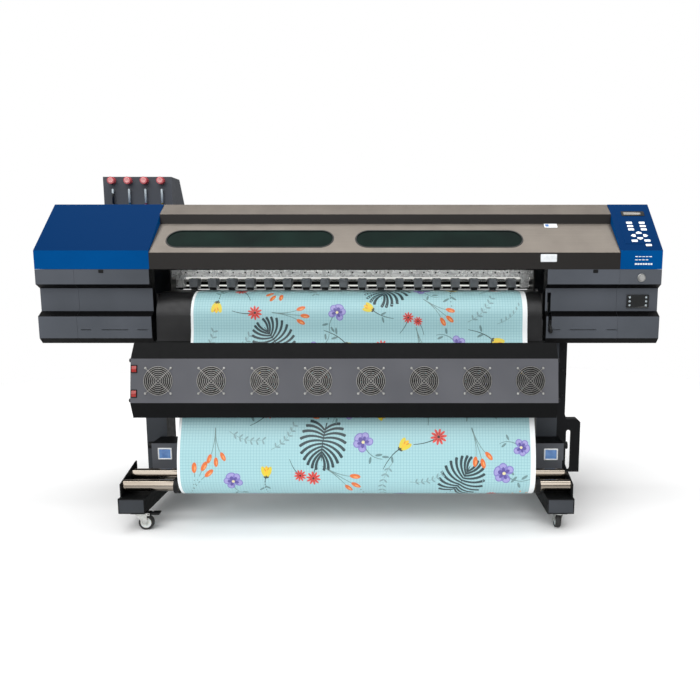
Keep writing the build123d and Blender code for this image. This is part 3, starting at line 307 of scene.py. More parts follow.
low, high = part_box("power_button")
button_x, button_z = (low[0] + high[0]) / 2, (low[2] + high[2]) / 2
ring = hoop([(0.0142, 0.0), (0.0142, 0.0032), (0.0152, 0.0040), (0.0172, 0.0034), (0.0180, 0.0)],
            flip=True)
make("button_ring", facing_front(ring, button_x, front, button_z), zinc, "frame")

# Anodised aluminium: pale, with a silky highlight drawn along X.
satin_alloy = surface("satin anodised aluminium", 0.28, "#d2d2d0", "#eeeeec", 0.004,
                      stretch=(8, 1, 1), metallic=1.0)
dress(satin_alloy, "power_button")

# Touch glass: near black, with the one sharp reflection on the housings.
black_glass = surface("black-backed touch glass", 0.06, "#07090a", "#0c1012", 0.03, Coat_Weight=0.5)
controller_x, controller_z = 1.3045, 0.9745
glass = facing_front(tablet(0.101, 0.059, 0.0022, 0.004, 0.0008), controller_x, groove - 0.003, controller_z)
make("controller_glass", glass, black_glass, "frame")

# Lit print: small pale marks that still read in the dark groove.
lit_mark = surface("lit print under glass", 0.4, "#93a0a6", "#c2ccd0", 0.004,
                   Emission_Strength=0.5, Emission_Color=linear("#c9d4da"))
mark = hoop([(0.0030, 0.0), (0.0030, 0.0003), (0.0044, 0.0003), (0.0044, 0.0)], 20, True)
spots = [(controller_x + side * 0.037, controller_z + row * 0.018) for side in (-1, 1) for row in (-1, 0, 1)]
marks = [facing_front(mark, x, groove - 0.0052, z) for x, z in spots]
dot = turned([(0.0016, 0.0), (0.0016, 0.0003)], 12)
marks += [facing_front(dot, x, groove - 0.0052, z) for x, z in spots]
make("controller_marks", join(marks), lit_mark, "frame")


# ---- Blue covers and control panel ---------------------------------------------------------------
# The lids over both ends are steel sheet in a gloss royal-blue lacquer with a clear coat. The right
# one carries a membrane panel: a small framed display and pale keys, with plain marks below them.

# Lacquer on steel: a deep blue that the key light hardly whitens. Every tilted face, the slope too, is
# painted a darker blue: painted shade.
blue_lacquer_painted_shade = surface("satin lacquer, royal blue, painted shade on tilted faces", 0.5, "#004581", "#004b8b", 0.25,
                       grain=(0.006, 0.00004, 1.0), Specular_IOR_Level=0.02)
dress(black_where(blue_lacquer_painted_shade, "#002b58", tilted), "left_top_cover", "right_top_cover")

crease = 1.201
lean = math.atan2(1.419 - crease, 0.213)


def on_panel(shape, x, along, lift=0.0012):
    """A flat fitting moved to a place on the sloping panel: across, up the slope, and off its face."""
    y = front + along * math.cos(lean) - lift * math.sin(lean)
    z = crease + along * math.sin(lean) + lift * math.cos(lean)
    return place_at(shape[0], (x, y, z), (1, 0, 0), (0, math.cos(lean), math.sin(lean))), shape[1]


# Printed keys: flat and pale, so they stand out from the blue at any angle.
key_white = surface("printed polyester keys, pale", 0.45, "#dfe6ea", "#f6f8f9", 0.01)
key = tablet(0.027, 0.0135, 0.0012, 0.003, 0.0005)
keys = [on_panel(key, x, along) for x in (1.2812, 1.3390) for along in (0.177, 0.1548, 0.1327)]
keys += [on_panel(key, x, along) for x, along in ((1.2817, 0.0596), (1.3389, 0.0608), (1.3386, 0.0323))]


def arrow_key(turn):
    """A flat five-sided key whose point looks along an angle; its rim is the same outline drawn in."""
    outline = np.array([(0.0125, 0.0), (0.003, 0.0085), (-0.0095, 0.0085), (-0.0095, -0.0085),
                        (0.003, -0.0085)])
    if abs(math.sin(turn)) > 0.5:
        outline = outline * (0.72, 1.5)
    c, s = math.cos(turn), math.sin(turn)
    outline = outline @ np.array([[c, s], [-s, c]])
    rings = [(1.0, 0.0), (1.0, 0.0008), (0.93, 0.0012)]
    points = np.concatenate([np.column_stack([outline * k, np.full(5, h)]) for k, h in rings])
    return points, [weave(3, 5, True), np.array([np.arange(5)[::-1], np.arange(5) + 10])]


for turn, x, along in ((90, 1.3110, 0.1111), (180, 1.2836, 0.0930), (0, 1.3372, 0.0930), (270, 1.3100, 0.0749)):
    keys.append(on_panel(arrow_key(math.radians(turn)), x, along))
make("panel_keys", join(keys), key_white, "frame")

bezel = on_panel(tablet(0.106, 0.031, 0.0020, 0.003, 0.0008), 1.3105, 0.2385)
make("display_bezel", bezel, black_abs, "frame")
# Character display: amber cells parted by dark lines, behind a clear glossy face.
display, tree, shader = start("backlit character display", 0.15, Coat_Weight=0.6)
place = add(tree, "ShaderNodeTexCoord")
cells = add(tree, "ShaderNodeTexBrick", {"offset": 0.0}, {
    "Vector": place.outputs["Object"], "Scale": 1.0, "Brick Width": 0.0045, "Row Height": 0.007,
    "Mortar Size": 0.0006,
    "Color1": linear("#4a3f24"), "Color2": linear("#594826"), "Mortar": linear("#1d1e1a")})
tree.links.new(cells.outputs["Color"], shader.inputs["Base Color"])
pane = on_panel(tablet(0.078, 0.017, 0.0026, 0.001, 0.0003), 1.3065, 0.2375)
make("display_window", pane, display, "frame")

plain_marks = []
for count, width, height, x, pitch, row in ((7, 0.009, 0.007, 1.277, 0.0115, 1.1415),
                                            (5, 0.012, 0.0034, 1.279, 0.0155, 1.174),
                                            (4, 0.012, 0.0034, 1.279, 0.0155, 1.160)):
    mark = tablet(width, height, 0.0006, 0.001, 0.0002)
    plain_marks += [facing_front(mark, x + k * pitch, front, row) for k in range(count)]
make("panel_marks", join(plain_marks), key_white, "frame")


# ---- Hinged front cover --------------------------------------------------------------------------
# One long folded cover in a satin metallic lacquer of warm grey, drawn fine along its length. Two
# smoked acrylic windows sit under it, each in a black rubber gasket that laps the opening's rim.

def satin_metallic(name, dark, light):
    """A warm metallic lacquer: clouds 120 mm wide, faint streaks 8 mm apart along X, and mica in the gloss."""
    along = (40, 1, 1)
    material = surface(name, 0.4, dark, light, 0.12, gloss=(0.003, 0.34, 0.46, 1.0),
                       grain=(0.008, 0.00002, 1.0, along), metallic=0.85)
    tree = material.node_tree
    ramp = next(node for node in tree.nodes if node.type == "VALTORGB")
    mix = {0: 0.3, 2: ramp.inputs[0].links[0].from_socket, 3: clouds(tree, 0.008, 2.0, along)}
    tree.links.new(add(tree, "ShaderNodeMix", {"data_type": "FLOAT"}, mix).outputs[0], ramp.inputs[0])
    return material


def upright(tree, facing, place):
    """1 on a face that looks level, towards the operator."""
    return add(tree, "ShaderNodeMath", {"operation": "LESS_THAN"}, {0: facing.outputs["Y"], 1: -0.97})


# Metallic lacquer: warm grey slopes that catch the lamp, above upright fronts painted darker: painted shade.
cover_grey_painted_shade = satin_metallic("satin metallic lacquer, warm grey, folded fronts darker", "#5e5852", "#69635c")
dress(black_where(cover_grey_painted_shade, "#353332", upright), "front_cover", "rear_cover")
# Smoked acrylic: dark green-black with a faint cool sheen, and nothing seen behind it.
smoked = surface("smoked acrylic, green-black", 0.12, "#06100e", "#0d201b", 0.2,
                 IOR=1.49, Specular_IOR_Level=0.015)
dress(smoked, "cover_windows")

cover_crease, step_top, step_depth = 1.192, 1.326, 0.160
cover_lean = math.atan2(step_top - cover_crease, step_depth)
window_along = math.hypot(step_depth, step_top - cover_crease) / 2 - 0.007


def on_cover(points, x, along, lift):
    """Points moved onto the cover's main slope: across, up the slope, and off its face."""
    y = front + along * math.cos(cover_lean) - lift * math.sin(cover_lean)
    z = cover_crease + along * math.sin(cover_lean) + lift * math.cos(cover_lean)
    return place_at(points, (x, y, z), (1, 0, 0), (0, math.cos(cover_lean), math.sin(cover_lean)))


def obround_bead(length, height, reach, thickness, count=40):
    """A half-round bead along an obround: two half circles of height / 2 joined by straights, and at each
    point a section (reach cos t, thickness sin t) across the outline."""
    half_turn = np.linspace(-np.pi / 2, np.pi / 2, count)
    a = np.concatenate([half_turn, half_turn + np.pi])
    middle = np.repeat([1.0, -1.0], count) * (length - height) / 2
    t = np.linspace(0, 2 * np.pi, 10, endpoint=False)[None, :]
    radius = height / 2 + reach * np.cos(t)
    x = middle[:, None] + radius * np.cos(a)[:, None]
    y = radius * np.sin(a)[:, None]
    z = thickness * np.sin(t) + 0 * x
    return np.stack([x, y, z], -1).reshape(-1, 3), [weave(2 * count, 10, True, True)]


# Rubber: a dull black line that draws each window's outline.
gasket_rubber = surface("EPDM rubber gasket", 0.62, "#0f1010", "#191a1a", 0.02)
gaskets = []
for x in (-0.4495, 0.4075):
    bead, faces = obround_bead(0.755, 0.121, 0.0035, 0.0016)
    gaskets.append((on_cover(bead, x, window_along, 0.0), faces))
make("window_gaskets", join(gaskets), gasket_rubber, "front_cover")

# Vinyl sticker: flat and pale against the metallic lacquer.
sticker = surface("vinyl sticker, pale", 0.4, "#d9dee2", "#edf0f2", 0.02)
# Ink on the sticker: one small spot of flat blue.
blue_print = surface("blue print on vinyl", 0.4, "#2c5f9e", "#3a70b0", 0.02)
label, faces = tablet(0.060, 0.030, 0.0003, 0.003, 0.0001)
slope_label = on_cover(label, 0.928, 0.196, 0.0)
face_label = facing_front(tablet(0.072, 0.034, 0.0003, 0.003, 0.0001), 0.890, front, 1.168)
make("cover_stickers", join([(slope_label, faces), face_label]), sticker, "front_cover")
stripe, faces = tablet(0.016, 0.018, 0.0002, 0.003, 0.0001)
stripe = on_cover(stripe, 0.911, 0.196, 0.0003)
make("sticker_print", (stripe, faces), blue_print, "front_cover")


# ---- Media bed and pinch rollers -----------------------------------------------------------------
# The bed and aprons are dark anodised aluminium sheet. Above it a plated rail covers a row of grey
# moulded arms with rubber rollers, each pair of arms parted by a coiled spring on the cross shaft.

# Dark anodised sheet: nearly black, with soft grey highlights along its bends.
bed_alloy = surface("dark anodised aluminium sheet", 0.4, "#232324", "#29292a", 0.06,
                    stretch=(6, 1, 1), gloss=(0.03, 0.33, 0.46), metallic=0.5)
dress(bed_alloy, "platen")

# Bright plate: the lightest metal in the throat, streaked along X.
plated = surface("bright plated steel", 0.32, "#cfd1d2", "#eceded", 0.01,
                 stretch=(12, 1, 1), gloss=(0.02, 0.2, 0.36), metallic=0.5)
dress(plated, "pinch_rail", "feed_roller")

# Filled nylon: a matt mid grey with a slightly grainy skin.
arm_grey = surface("glass-filled nylon, mid grey", 0.5, "#868a91", "#989ca3", 0.02,
                   grain=(0.0015, 0.00003), Specular_IOR_Level=0.3)
dress(arm_grey, "pinch_arms")

# Ground rubber: narrow bands of matt near-black.
roller_rubber = surface("ground nitrile rubber", 0.7, "#1b1b1b", "#262626", 0.01)
dress(roller_rubber, "pinch_rollers")

# Mill finish: light grey with fine lines drawn along X.
mill_alloy = surface("extruded aluminium, mill finish", 0.38, "#8f9294", "#a7aaac", 0.005,
                     stretch=(40, 1, 1), metallic=1.0)
dress(mill_alloy, "guide_beam", "base_beam", "blade_holder")
dress(black_abs, "carriage", "lift_lever", "left_clamp_knob", "right_clamp_knob")


def spring(length, radius, wire, turns, around=20, sides=6):
    """A coil about X: centre (x, R cos t, R sin t), wire section (w cos s) outwards and (w sin s) along X."""
    t = np.linspace(0, 2 * np.pi * turns, turns * around + 1)[:, None]
    s = np.linspace(0, 2 * np.pi, sides, endpoint=False)[None, :]
    reach = radius + wire * np.cos(s)
    x = (t / (2 * np.pi * turns) - 0.5) * length + wire * np.sin(s)
    points = np.stack([x, reach * np.cos(t), reach * np.sin(t)], -1).reshape(-1, 3)
    last = len(t) - 1
    caps = np.array([np.arange(sides)[::-1], np.arange(sides) + last * sides])
    return points, [weave(len(t), sides, True)[:, ::-1], caps[:, ::-1]]


arm_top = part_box("pinch_arms")[1][2]
shaft_y, shaft_z = front + 0.310, 1.062
arm_pitch, arm_count = 0.091, 18
middles = (np.arange(arm_count - 1) - (arm_count - 2) / 2) * arm_pitch
coil, faces = spring(0.034, 0.0062, 0.0012, 7)
coils = [(coil + (x, shaft_y, shaft_z), faces) for x in middles]
make("arm_springs", join(coils), zinc, "pinch_arms")
arm_xs = np.append(middles - arm_pitch / 2, middles[-1] + arm_pitch / 2)
head, faces = screw(0.004)
heads = [(place_at(head, (x + side * 0.012, shaft_y - 0.030, arm_top), (1, 0, 0), (0, 1, 0)), faces)
         for x in arm_xs for side in (-1, 1)]
make("arm_screws", join(heads), zinc, "pinch_arms")

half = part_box("platen")[1][0]
back = front + 0.338
strips = [facing_front(tablet(2 * half - 0.004, tall, 0.003, 0.001, 0.0006), 0.0, back, z) for tall, z in
          ((0.020, 1.0665), (0.007, 1.0345))]
# Painted light: bars that shine a soft even white between the arms, in place of bright metal in the
# shaded throat.
glow = surface("throat bars, painted glow", 0.35, "#d9dad7", "#efefec", 0.02,
               Emission_Strength=0.75, Emission_Color=linear("#f3f3ee"))
make("throat_painted_glow_bars", join(strips), glow, "frame")
backing = facing_front(tablet(2 * half - 0.002, 0.1015, 0.0015, 0.001, 0.0003), 0.0, back + 0.002, 1.06775)
# The lip is a black sheet across the gap under the front apron, where there is only shade: painted shade.
lip = facing_front(tablet(2 * half - 0.002, 0.040, 0.0015, 0.001, 0.0003), 0.0, front + 0.0235, 0.7800)
make("throat_backing_and_painted_shade_lip", join([backing, lip]), black_abs, "frame")
strip, faces = tablet(1.70, 0.010, 0.002, 0.001, 0.0005)
strip = place_at(strip, (0.0, front + 0.016, 1.140), (-1, 0, 0), (0, 0.5, 0.87))
# LED strip: a thin line of full white under the lid's edge.
bright = surface("LED strip under the lid, lit", 0.4, "#e9e9e4", "#f5f5f2", 0.02,
                 Emission_Strength=8.0, Emission_Color=linear("#fbfbf6"))
make("lid_light_strip", (strip, faces), bright, "front_cover")
# White nylon: small clean dots at the ends of the axles.
white_nylon = surface("moulded nylon, white", 0.4, "#e3e4e2", "#f4f4f2", 0.01)
bush, faces = turned([(0.0062, 0.0), (0.0062, 0.008), (0.0050, 0.0095), (0.0020, 0.0095)], 20)
spots = [(x + 0.0195, front + 0.275, 1.0285) for x in arm_xs]
bushes = [(place_at(bush, spot, (0, 1, 0), (0, 0, 1)), faces) for spot in spots]
make("roller_axle_bushes", join(bushes), white_nylon, "pinch_arms")


# ---- Hanging dryer -------------------------------------------------------------------------------
# A folded steel trough on two arms. Its front face is dark grey; the bevel above it is black paint, and
# the bevel below it, the ends and the back are painted black as painted shade. Eight wire guards cover
# the fans, and two red rocker switches sit in black bezels.

def not_front(tree, facing, place):
    """1 on every face but those between the ends that look towards the operator within about 14 degrees."""
    near = add(tree, "ShaderNodeMath", {"operation": "GREATER_THAN"}, {0: facing.outputs["Y"], 1: -0.97})
    side = add(tree, "ShaderNodeMath", {"operation": "ABSOLUTE"}, {0: place.outputs["X"]})
    past = add(tree, "ShaderNodeMath", {"operation": "GREATER_THAN"}, {0: side, 1: 0.9855})
    return add(tree, "ShaderNodeMath", {"operation": "MAXIMUM"}, {0: near, 1: past})


face_low, face_high = np.array([front - 0.277, 0.573]), np.array([front - 0.248, 0.754])
face_tilt = math.atan2(face_high[0] - face_low[0], face_high[1] - face_low[1])
face_mid = (face_low + face_high) / 2
# The same coat, lighter and warmer, so the face stands off the black round it: black paint on the
# upper bevel, painted shade on the lower bevel, the ends and the back.
dryer_coat_painted_shade = powder_coat("polyester powder coat, dryer grey, bevels black", "#55565b", "#606166", 0.45)
dress(black_where(dryer_coat_painted_shade, "#050607", not_front), "dryer_housing")
dress(black_abs, "fan_frames")
# Chromed wire: warm grey rings with small bright glints.
wire = surface("chromed steel wire", 0.3, "#8b8a87", "#a9a8a5", 0.01, metallic=1.0)
dress(wire, "fan_guards")
# Charcoal plastic: blades that read just lighter than the duct behind them.
fan_plastic = surface("injection-moulded PBT, charcoal", 0.4, "#26272a", "#323337", 0.03)
dress(fan_plastic, *["fan_impeller_%d" % (k + 1) for k in range(8)])
# Quartz: a pale tube, partly see-through.
quartz = surface("quartz lamp tube", 0.1, "#cfd2d4", "#e9eaeb", 0.02, Alpha=0.7, IOR=1.46)
dress(quartz, "heater_lamps")


def on_dryer(shape, x, up, lift=0.0):
    """A flat fitting moved to a place on the dryer's leaning face: across, up from its middle, and off it."""
    y = face_mid[0] + up * math.sin(face_tilt) - lift * math.cos(face_tilt)
    z = face_mid[1] + up * math.cos(face_tilt) + lift * math.sin(face_tilt)
    return place_at(shape[0], (x, y, z), (1, 0, 0), (0, math.sin(face_tilt), math.cos(face_tilt))), shape[1]


switch_x, switch_ups = -0.870, (0.049, -0.053)
# Gloss polycarbonate: a clear red with a small sharp highlight.
red_gloss = surface("gloss polycarbonate, signal red", 0.25, "#8e1712", "#a6211a", 0.01, Coat_Weight=0.3)
dress(red_gloss, "upper_rocker_switch", "lower_rocker_switch")


def frame_of(width, height, band, depth):
    """A rectangular frame with rounded corners: an outer and an inner rounded outline, front and back."""
    outer, inner = (tablet(w, h, depth, c, 0.0001)[0][:20, :2]
                    for w, h, c in ((width, height, 0.003), (width - 2 * band, height - 2 * band, 0.001)))
    rings = [(outer, 0.0), (outer, depth * 0.7), (outer * 0.97, depth), (inner, depth), (inner, 0.0)]
    points = np.concatenate([np.column_stack([outline, np.full(20, h)]) for outline, h in rings])
    return points, [weave(5, 20, True, True)]


bezels = [on_dryer(frame_of(0.027, 0.034, 0.0028, 0.002), switch_x, up) for up in switch_ups]
make("switch_bezels", join(bezels), black_abs, "frame")
fan_xs = (np.arange(8) - 3.5) * 0.220
hole = 0.105 / 2  # half the screw spacing of a 120 mm fan
guard_screws = [on_dryer(screw(0.0040), x + side * hole, level * hole, 0.0024)
                for x in fan_xs for side in (-1, 1) for level in (-1, 1)]
make("guard_screws", join(guard_screws), zinc, "frame")

hexagon = turned([(0.0085, 0.0), (0.0085, 0.0072), (0.0072, 0.0080)], 6)
end_bolts = []
for side in (-1, 1):
    for up in (-0.083, 0.083):
        y = face_mid[0] + up * math.sin(face_tilt) + 0.012
        z = face_mid[1] + up * math.cos(face_tilt)
        end_bolts.append((place_at(hexagon[0], (side * 0.885, y, z), (0, side, 0), (0, 0, 1)), hexagon[1]))
make("end_bolts", join(end_bolts), black_abs, "frame")


def flat_ring(inner, outer, depth):
    """A flat washer-like ring: its section is a rectangle from the inner to the outer radius."""
    return hoop([(inner, 0.0), (inner, depth), (outer, depth), (outer, 0.0)], 40, True)


rear_guard = [flat_ring(max(r - 0.0095, 0.0004), r, 0.001) for r in (0.010, 0.021, 0.032, 0.043, 0.054, 0.061)]
spoke, faces = tablet(0.118, 0.006, 0.001, 0.0005, 0.0002)
for a in np.radians([0, 60, 120]):
    c, s = math.cos(a), math.sin(a)
    rear_guard.append((place_at(spoke, (0, 0, 0.0012), (c, s, 0), (-s, c, 0)), faces))
rear_guard = join(rear_guard)
guards = [on_dryer(rear_guard, x, 0.0, -0.0425) for x in fan_xs]
make("rear_finger_guards", join(guards), black_abs, "frame")


# ---- Stand and casters ---------------------------------------------------------------------------
# Square steel tube in charcoal powder coat, with darker pressed lids on the feet. The casters have
# zinc-plated forks, pale nylon wheels with a black tyre, and black brake pedals on the front pair.

# Charcoal fronts against sides painted black as painted shade, which makes the tubes look square.
stand_coat_painted_shade = powder_coat("polyester powder coat, charcoal, painted shade on sides", "#383b3f", "#414449", 0.5)
dress(black_where(stand_coat_painted_shade, "#0b0c0d", not_front), "legs", "feet")
# Black coat: the plates read as flat dark shapes.
black_coat = powder_coat("polyester powder coat, black", "#101112", "#17181a", 0.42)
dress(black_coat, "roller_side_plates", "slotted_bracket", "supply_brackets", "stretcher")
dress(black_abs, "brake_pedal_front_left", "brake_pedal_front_right")
# Tyre rubber: soft black with a moulded grain.
tyre_rubber = surface("moulded tyre rubber", 0.6, "#161616", "#242424", 0.01, grain=(0.003, 0.0001))
# Natural nylon: milky off-white hubs.
nylon = surface("moulded nylon, natural", 0.4, "#c9ccc8", "#e2e4e1", 0.01, Subsurface_Weight=0.1)
tyre_section = [(23.6, -10), (23.6, 10), (24.6, 12), (29.4, 12), (31.2, 11), (32, 8.5), (32, -8.5), (31.2, -11),
                (29.4, -12), (24.6, -12)]
hub_section = [(4.6, -11), (4.6, 11), (9, 11), (9.6, 7.6), (19.4, 6.4), (20.6, 9.6), (23.5, 9.6), (23.5, -9.6),
               (20.6, -9.6), (19.4, -6.4), (9.6, -7.6), (9, -11)]
caster_turns = {"front_left": 0, "front_right": 90, "rear_left": 62, "rear_right": 115}
for spot, degrees in caster_turns.items():
    wheel = "caster_wheel_" + spot
    low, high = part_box(wheel)
    centre = [(low[k] + high[k]) / 2 for k in range(3)]
    along = (math.cos(math.radians(degrees)), math.sin(math.radians(degrees)), 0)
    for part, section, material in (("tyre", tyre_section, tyre_rubber), ("hub", hub_section, nylon)):
        points, faces = hoop([(r / 1000, h / 1000) for r, h in section])
        shape = place_at(points, centre, along, (0, 0, 1)), faces
        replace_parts(make("caster_" + part + "_" + spot, shape, material, wheel), wheel)
    dress(zinc, "caster_fork_" + spot)

rim = frame_of(0.1139, 0.0659, 0.004, 0.0012)
lids = [facing_front(rim, side * 0.918, front - 0.248, 0.115) for side in (-1, 1)]
make("foot_lid_rims", join(lids), black_coat, "frame")
leg_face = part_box("legs")[0][1]
leg_screws = [facing_front(screw(0.006), side * 0.925 + dx, leg_face, z)
              for side in (-1, 1) for dx in (-0.03, 0.03) for z in (0.172, 0.760)]
bracket_screws = [facing_front(screw(0.006), 0.992, leg_face, z) for z in (0.743, 0.648, 0.529)]
make("stand_screws", join(leg_screws + bracket_screws), black_abs, "frame")


# ---- Winder --------------------------------------------------------------------------------------
# Two chromed rollers between black plates on the feet. Black collars with red clamp screws hold the
# core. Behind them stand two motor boxes with a framed blue display and a hand knob each.

# Chrome: warm dark and bright bands along the rollers, a little smeared by handling.
chrome = surface("polished chrome plate", 0.12, "#857c71", "#9c948a", 0.02,
                 stretch=(20, 1, 1), gloss=(0.004, 0.09, 0.2, 2.0, (1, 20, 20)), metallic=1.0)
dress(chrome, "front_winder_roller", "rear_winder_roller")

roller_y, roller_z = front - 0.185, 0.188
web_low, web_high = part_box("media_web")
teeth = [(0.0354 - 0.0012 * (k % 2), 0.010 - k * 0.002) for k in range(11)]
ribs = [(0.0253, -0.0112), (0.0253, 0.0112), (0.033, 0.0112), *teeth, (0.033, -0.0112)]
collars, clamp_screws = [], []
for x, out in ((web_low[0] - 0.019, -1), (web_high[0] + 0.019, 1)):
    points, faces = hoop(ribs)
    collars.append((place_at(points, (x, roller_y, roller_z), (0, 1, 0), (0, 0, 1)), faces))
    points, faces = turned([(0.006, 0.0), (0.006, 0.004), (0.008, 0.006), (0.008, 0.011), (0.006, 0.012)], 20)
    spot = (x, roller_y - 0.018, roller_z - 0.0285)
    clamp_screws.append((place_at(points, spot, (1, 0, 0), (0, 0.85, -0.53)), faces))
make("core_collars", join(collars), black_abs, "front_winder_roller")
make("collar_screws", join(clamp_screws), red_gloss, "front_winder_roller")

# Grey fronts under black lids; the sides and back are painted black as painted shade.
box_coat_painted_shade = powder_coat("polyester powder coat, motor box grey, lid black", "#4f5156", "#5a5c61", 0.45)
dress(black_where(box_coat_painted_shade, "#0c0d0e", not_front), "motor_boxes")
box_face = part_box("motor_boxes")[0][1]
# White plastic: a plain matt rim round each screen.
frame_white = surface("moulded ABS, white", 0.4, "#dfe2e5", "#f2f4f5", 0.02)
# Backlit display: an even mid blue.
screen_blue = surface("backlit blue display", 0.25, "#42689f", "#5f8cc2", 0.03,
                      Emission_Strength=0.15, Emission_Color=linear("#5a86c0"), Coat_Weight=0.3)
screens = [(-0.8472, 0.2798), (0.9218, 0.2767)]
rims = [facing_front(frame_of(0.064, 0.054, 0.006, 0.004), x, box_face, z) for x, z in screens]
make("winder_display_frames", join(rims), frame_white, "frame")
panes = [facing_front(tablet(0.053, 0.043, 0.0025, 0.001, 0.0003), x, box_face, z) for x, z in screens]
make("winder_displays", join(panes), screen_blue, "frame")


# ---- Ink supply ----------------------------------------------------------------------------------
# A grey steel case behind the left cover. Each filler neck has a grooved red cap, and each bottle a
# clear sight tube on one grey fitting, with the ink's own colour standing in it.

# Polypropylene: a dull red with soft highlights.
cap_red = surface("moulded polypropylene, dull red", 0.38, "#b8424a", "#cf5a60", 0.01)
dress(cap_red, *["ink_cap_%d" % k for k in (1, 2, 3, 4)])
case_face = front + 0.440
# The cap's face in the same plastic, paler and pinker than its sides.
cap_faces = surface("moulded polypropylene, pale red face", 0.42, "#d98c8c", "#e6a3a1", 0.01)
inks = (("#1a1c20", 1.4925), ("#2a6c8b", 1.4465), ("#93305f", 1.4440), ("#a8933a", 1.4455))


def filled(ink, level):
    """A clear tube: the ink's colour below a height, and pale clear plastic above it."""
    material, tree, shader = start("clear polyethylene sight tube", 0.2, IOR=1.45, Coat_Weight=0.4)
    place = add(tree, "ShaderNodeTexCoord")
    height = add(tree, "ShaderNodeSeparateXYZ", None, {"Vector": place.outputs["Object"]}).outputs["Z"]
    empty = add(tree, "ShaderNodeMath", {"operation": "GREATER_THAN"}, {0: height, 1: level})
    mix = add(tree, "ShaderNodeMix", {"data_type": "RGBA"}, {0: empty, 6: linear(ink), 7: linear("#b4bfc5")})
    tree.links.new(mix.outputs[2], shader.inputs["Base Color"])
    return material


fittings = []
for k, (ink, level) in enumerate(inks):
    x = -1.092 + (k - 1.5) * 0.082
    low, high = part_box("ink_cap_%d" % (k + 1))
    face = turned([(0.0135, 0.0), (0.0135, 0.0006), (0.011, 0.0010), (0.009, 0.0004)], 24)
    make("cap_face_%d" % (k + 1), facing_front(face, x, low[1], (low[2] + high[2]) / 2), cap_faces,
         "ink_cap_%d" % (k + 1))
    points, faces = turned([(0.0053, 1.430), (0.0053, 1.512), (0.0040, 1.514)], 20)
    tube = (points + (x + 0.002, case_face - 0.011, 0.0), faces)
    make("sight_tube_%d" % (k + 1), tube, filled(ink, level), "frame")
    points, faces = turned([(0.006, 0.0), (0.0075, 0.001), (0.0075, 0.0095), (0.006, 0.0105)], 20)
    fittings.append((points + (x + 0.002, case_face - 0.011, 1.427), faces))
make("tube_fittings", join(fittings), arm_grey, "frame")


# ---- Rear and side panels ------------------------------------------------------------------------
# The ends are closed by sheet panels with pressed louvres for cooling air, held by pan-head screws.
# More screws hold the long rear cover along its top and bottom folds.

def louvre(length, width, height, columns=18, rows=7):
    """A pressed scoop: it rises as height * sin(pi u) ** 0.35 * sin(pi v / 2) for u along it and v across it,
    then drops straight back to the sheet. The dark slit under it is a separate black strip: painted shade."""
    u = np.linspace(0, 1, columns)[None, :]
    v = np.append(np.linspace(0, 1, rows - 1), 1.0)[:, None]
    rise = height * np.sin(np.pi * u) ** 0.35 * np.sin(np.pi * v / 2)
    rise[-1] = 0.0
    points = np.stack([(u - 0.5) * length + 0 * v, (0.5 - v) * width + 0 * u, rise], -1)
    return points.reshape(-1, 3), [weave(rows, columns)[:, ::-1]]


def facing_rear(shape, x, y, z):
    """A flat fitting moved to a place on an upright face that looks backwards."""
    return place_at(shape[0], (x, y, z), (-1, 0, 0), (0, 0, 1)), shape[1]


def facing_side(shape, side, x, y, z):
    """A flat fitting moved to a place on an upright face that looks along X, to either side."""
    return place_at(shape[0], (x, y, z), (0, side, 0), (0, 0, 1)), shape[1]


rear, side_face = front + 0.440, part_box("right_end_housing")[1][0]
scoop, slit = louvre(0.075, 0.011, 0.0045), tablet(0.070, 0.0026, 0.0004, 0.001, 0.0001)
scoops, slits = [], []
heights = 0.850 + 0.019 * np.arange(7)
for x in (-1.28, -1.17, -1.06, 1.00, 1.11):
    for z in heights:
        scoops.append(facing_rear(scoop, x, rear, z))
        slits.append(facing_rear(slit, x, rear, z - 0.0065))
for side in (-1, 1):
    for y in (0.16, 0.27):
        for z in heights:
            scoops.append(facing_side(scoop, side, side * side_face, front + y, z))
            slits.append(facing_side(slit, side, side * side_face, front + y, z - 0.0065))
# As the housings, so that a louvre's scoop shows by its shadow; the black slit under it is painted shade.
panel_grey = powder_coat("polyester powder coat, slate grey, pressed panel", "#4a4e54", "#54585f")
make("louvres", join(scoops), panel_grey, "frame")
make("louvre_painted_shade_slits", join(slits), black_abs, "frame")
heads = [facing_rear(screw(0.0042), x, rear, z) for x in (-1.37, -0.905, 0.905, 1.37) for z in (0.812, 1.095)]
heads += [facing_side(screw(0.0042), side, side * side_face, front + y, z)
          for side in (-1, 1) for y in (0.075, 0.42) for z in (0.812, 1.095, 1.16)]
heads += [facing_rear(screw(0.0036), x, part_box("rear_cover")[1][1], z) for x in np.linspace(-0.86, 1.18, 8)
          for z in (1.136, 1.402)]
make("panel_screws", join(heads), zinc, "frame")


# ---- Supply roll ---------------------------------------------------------------------------------
# Banner vinyl wound on a board core behind the machine. Its ends show the layers as fine rings, and
# moulded flanges on a steel shaft clamp the core.

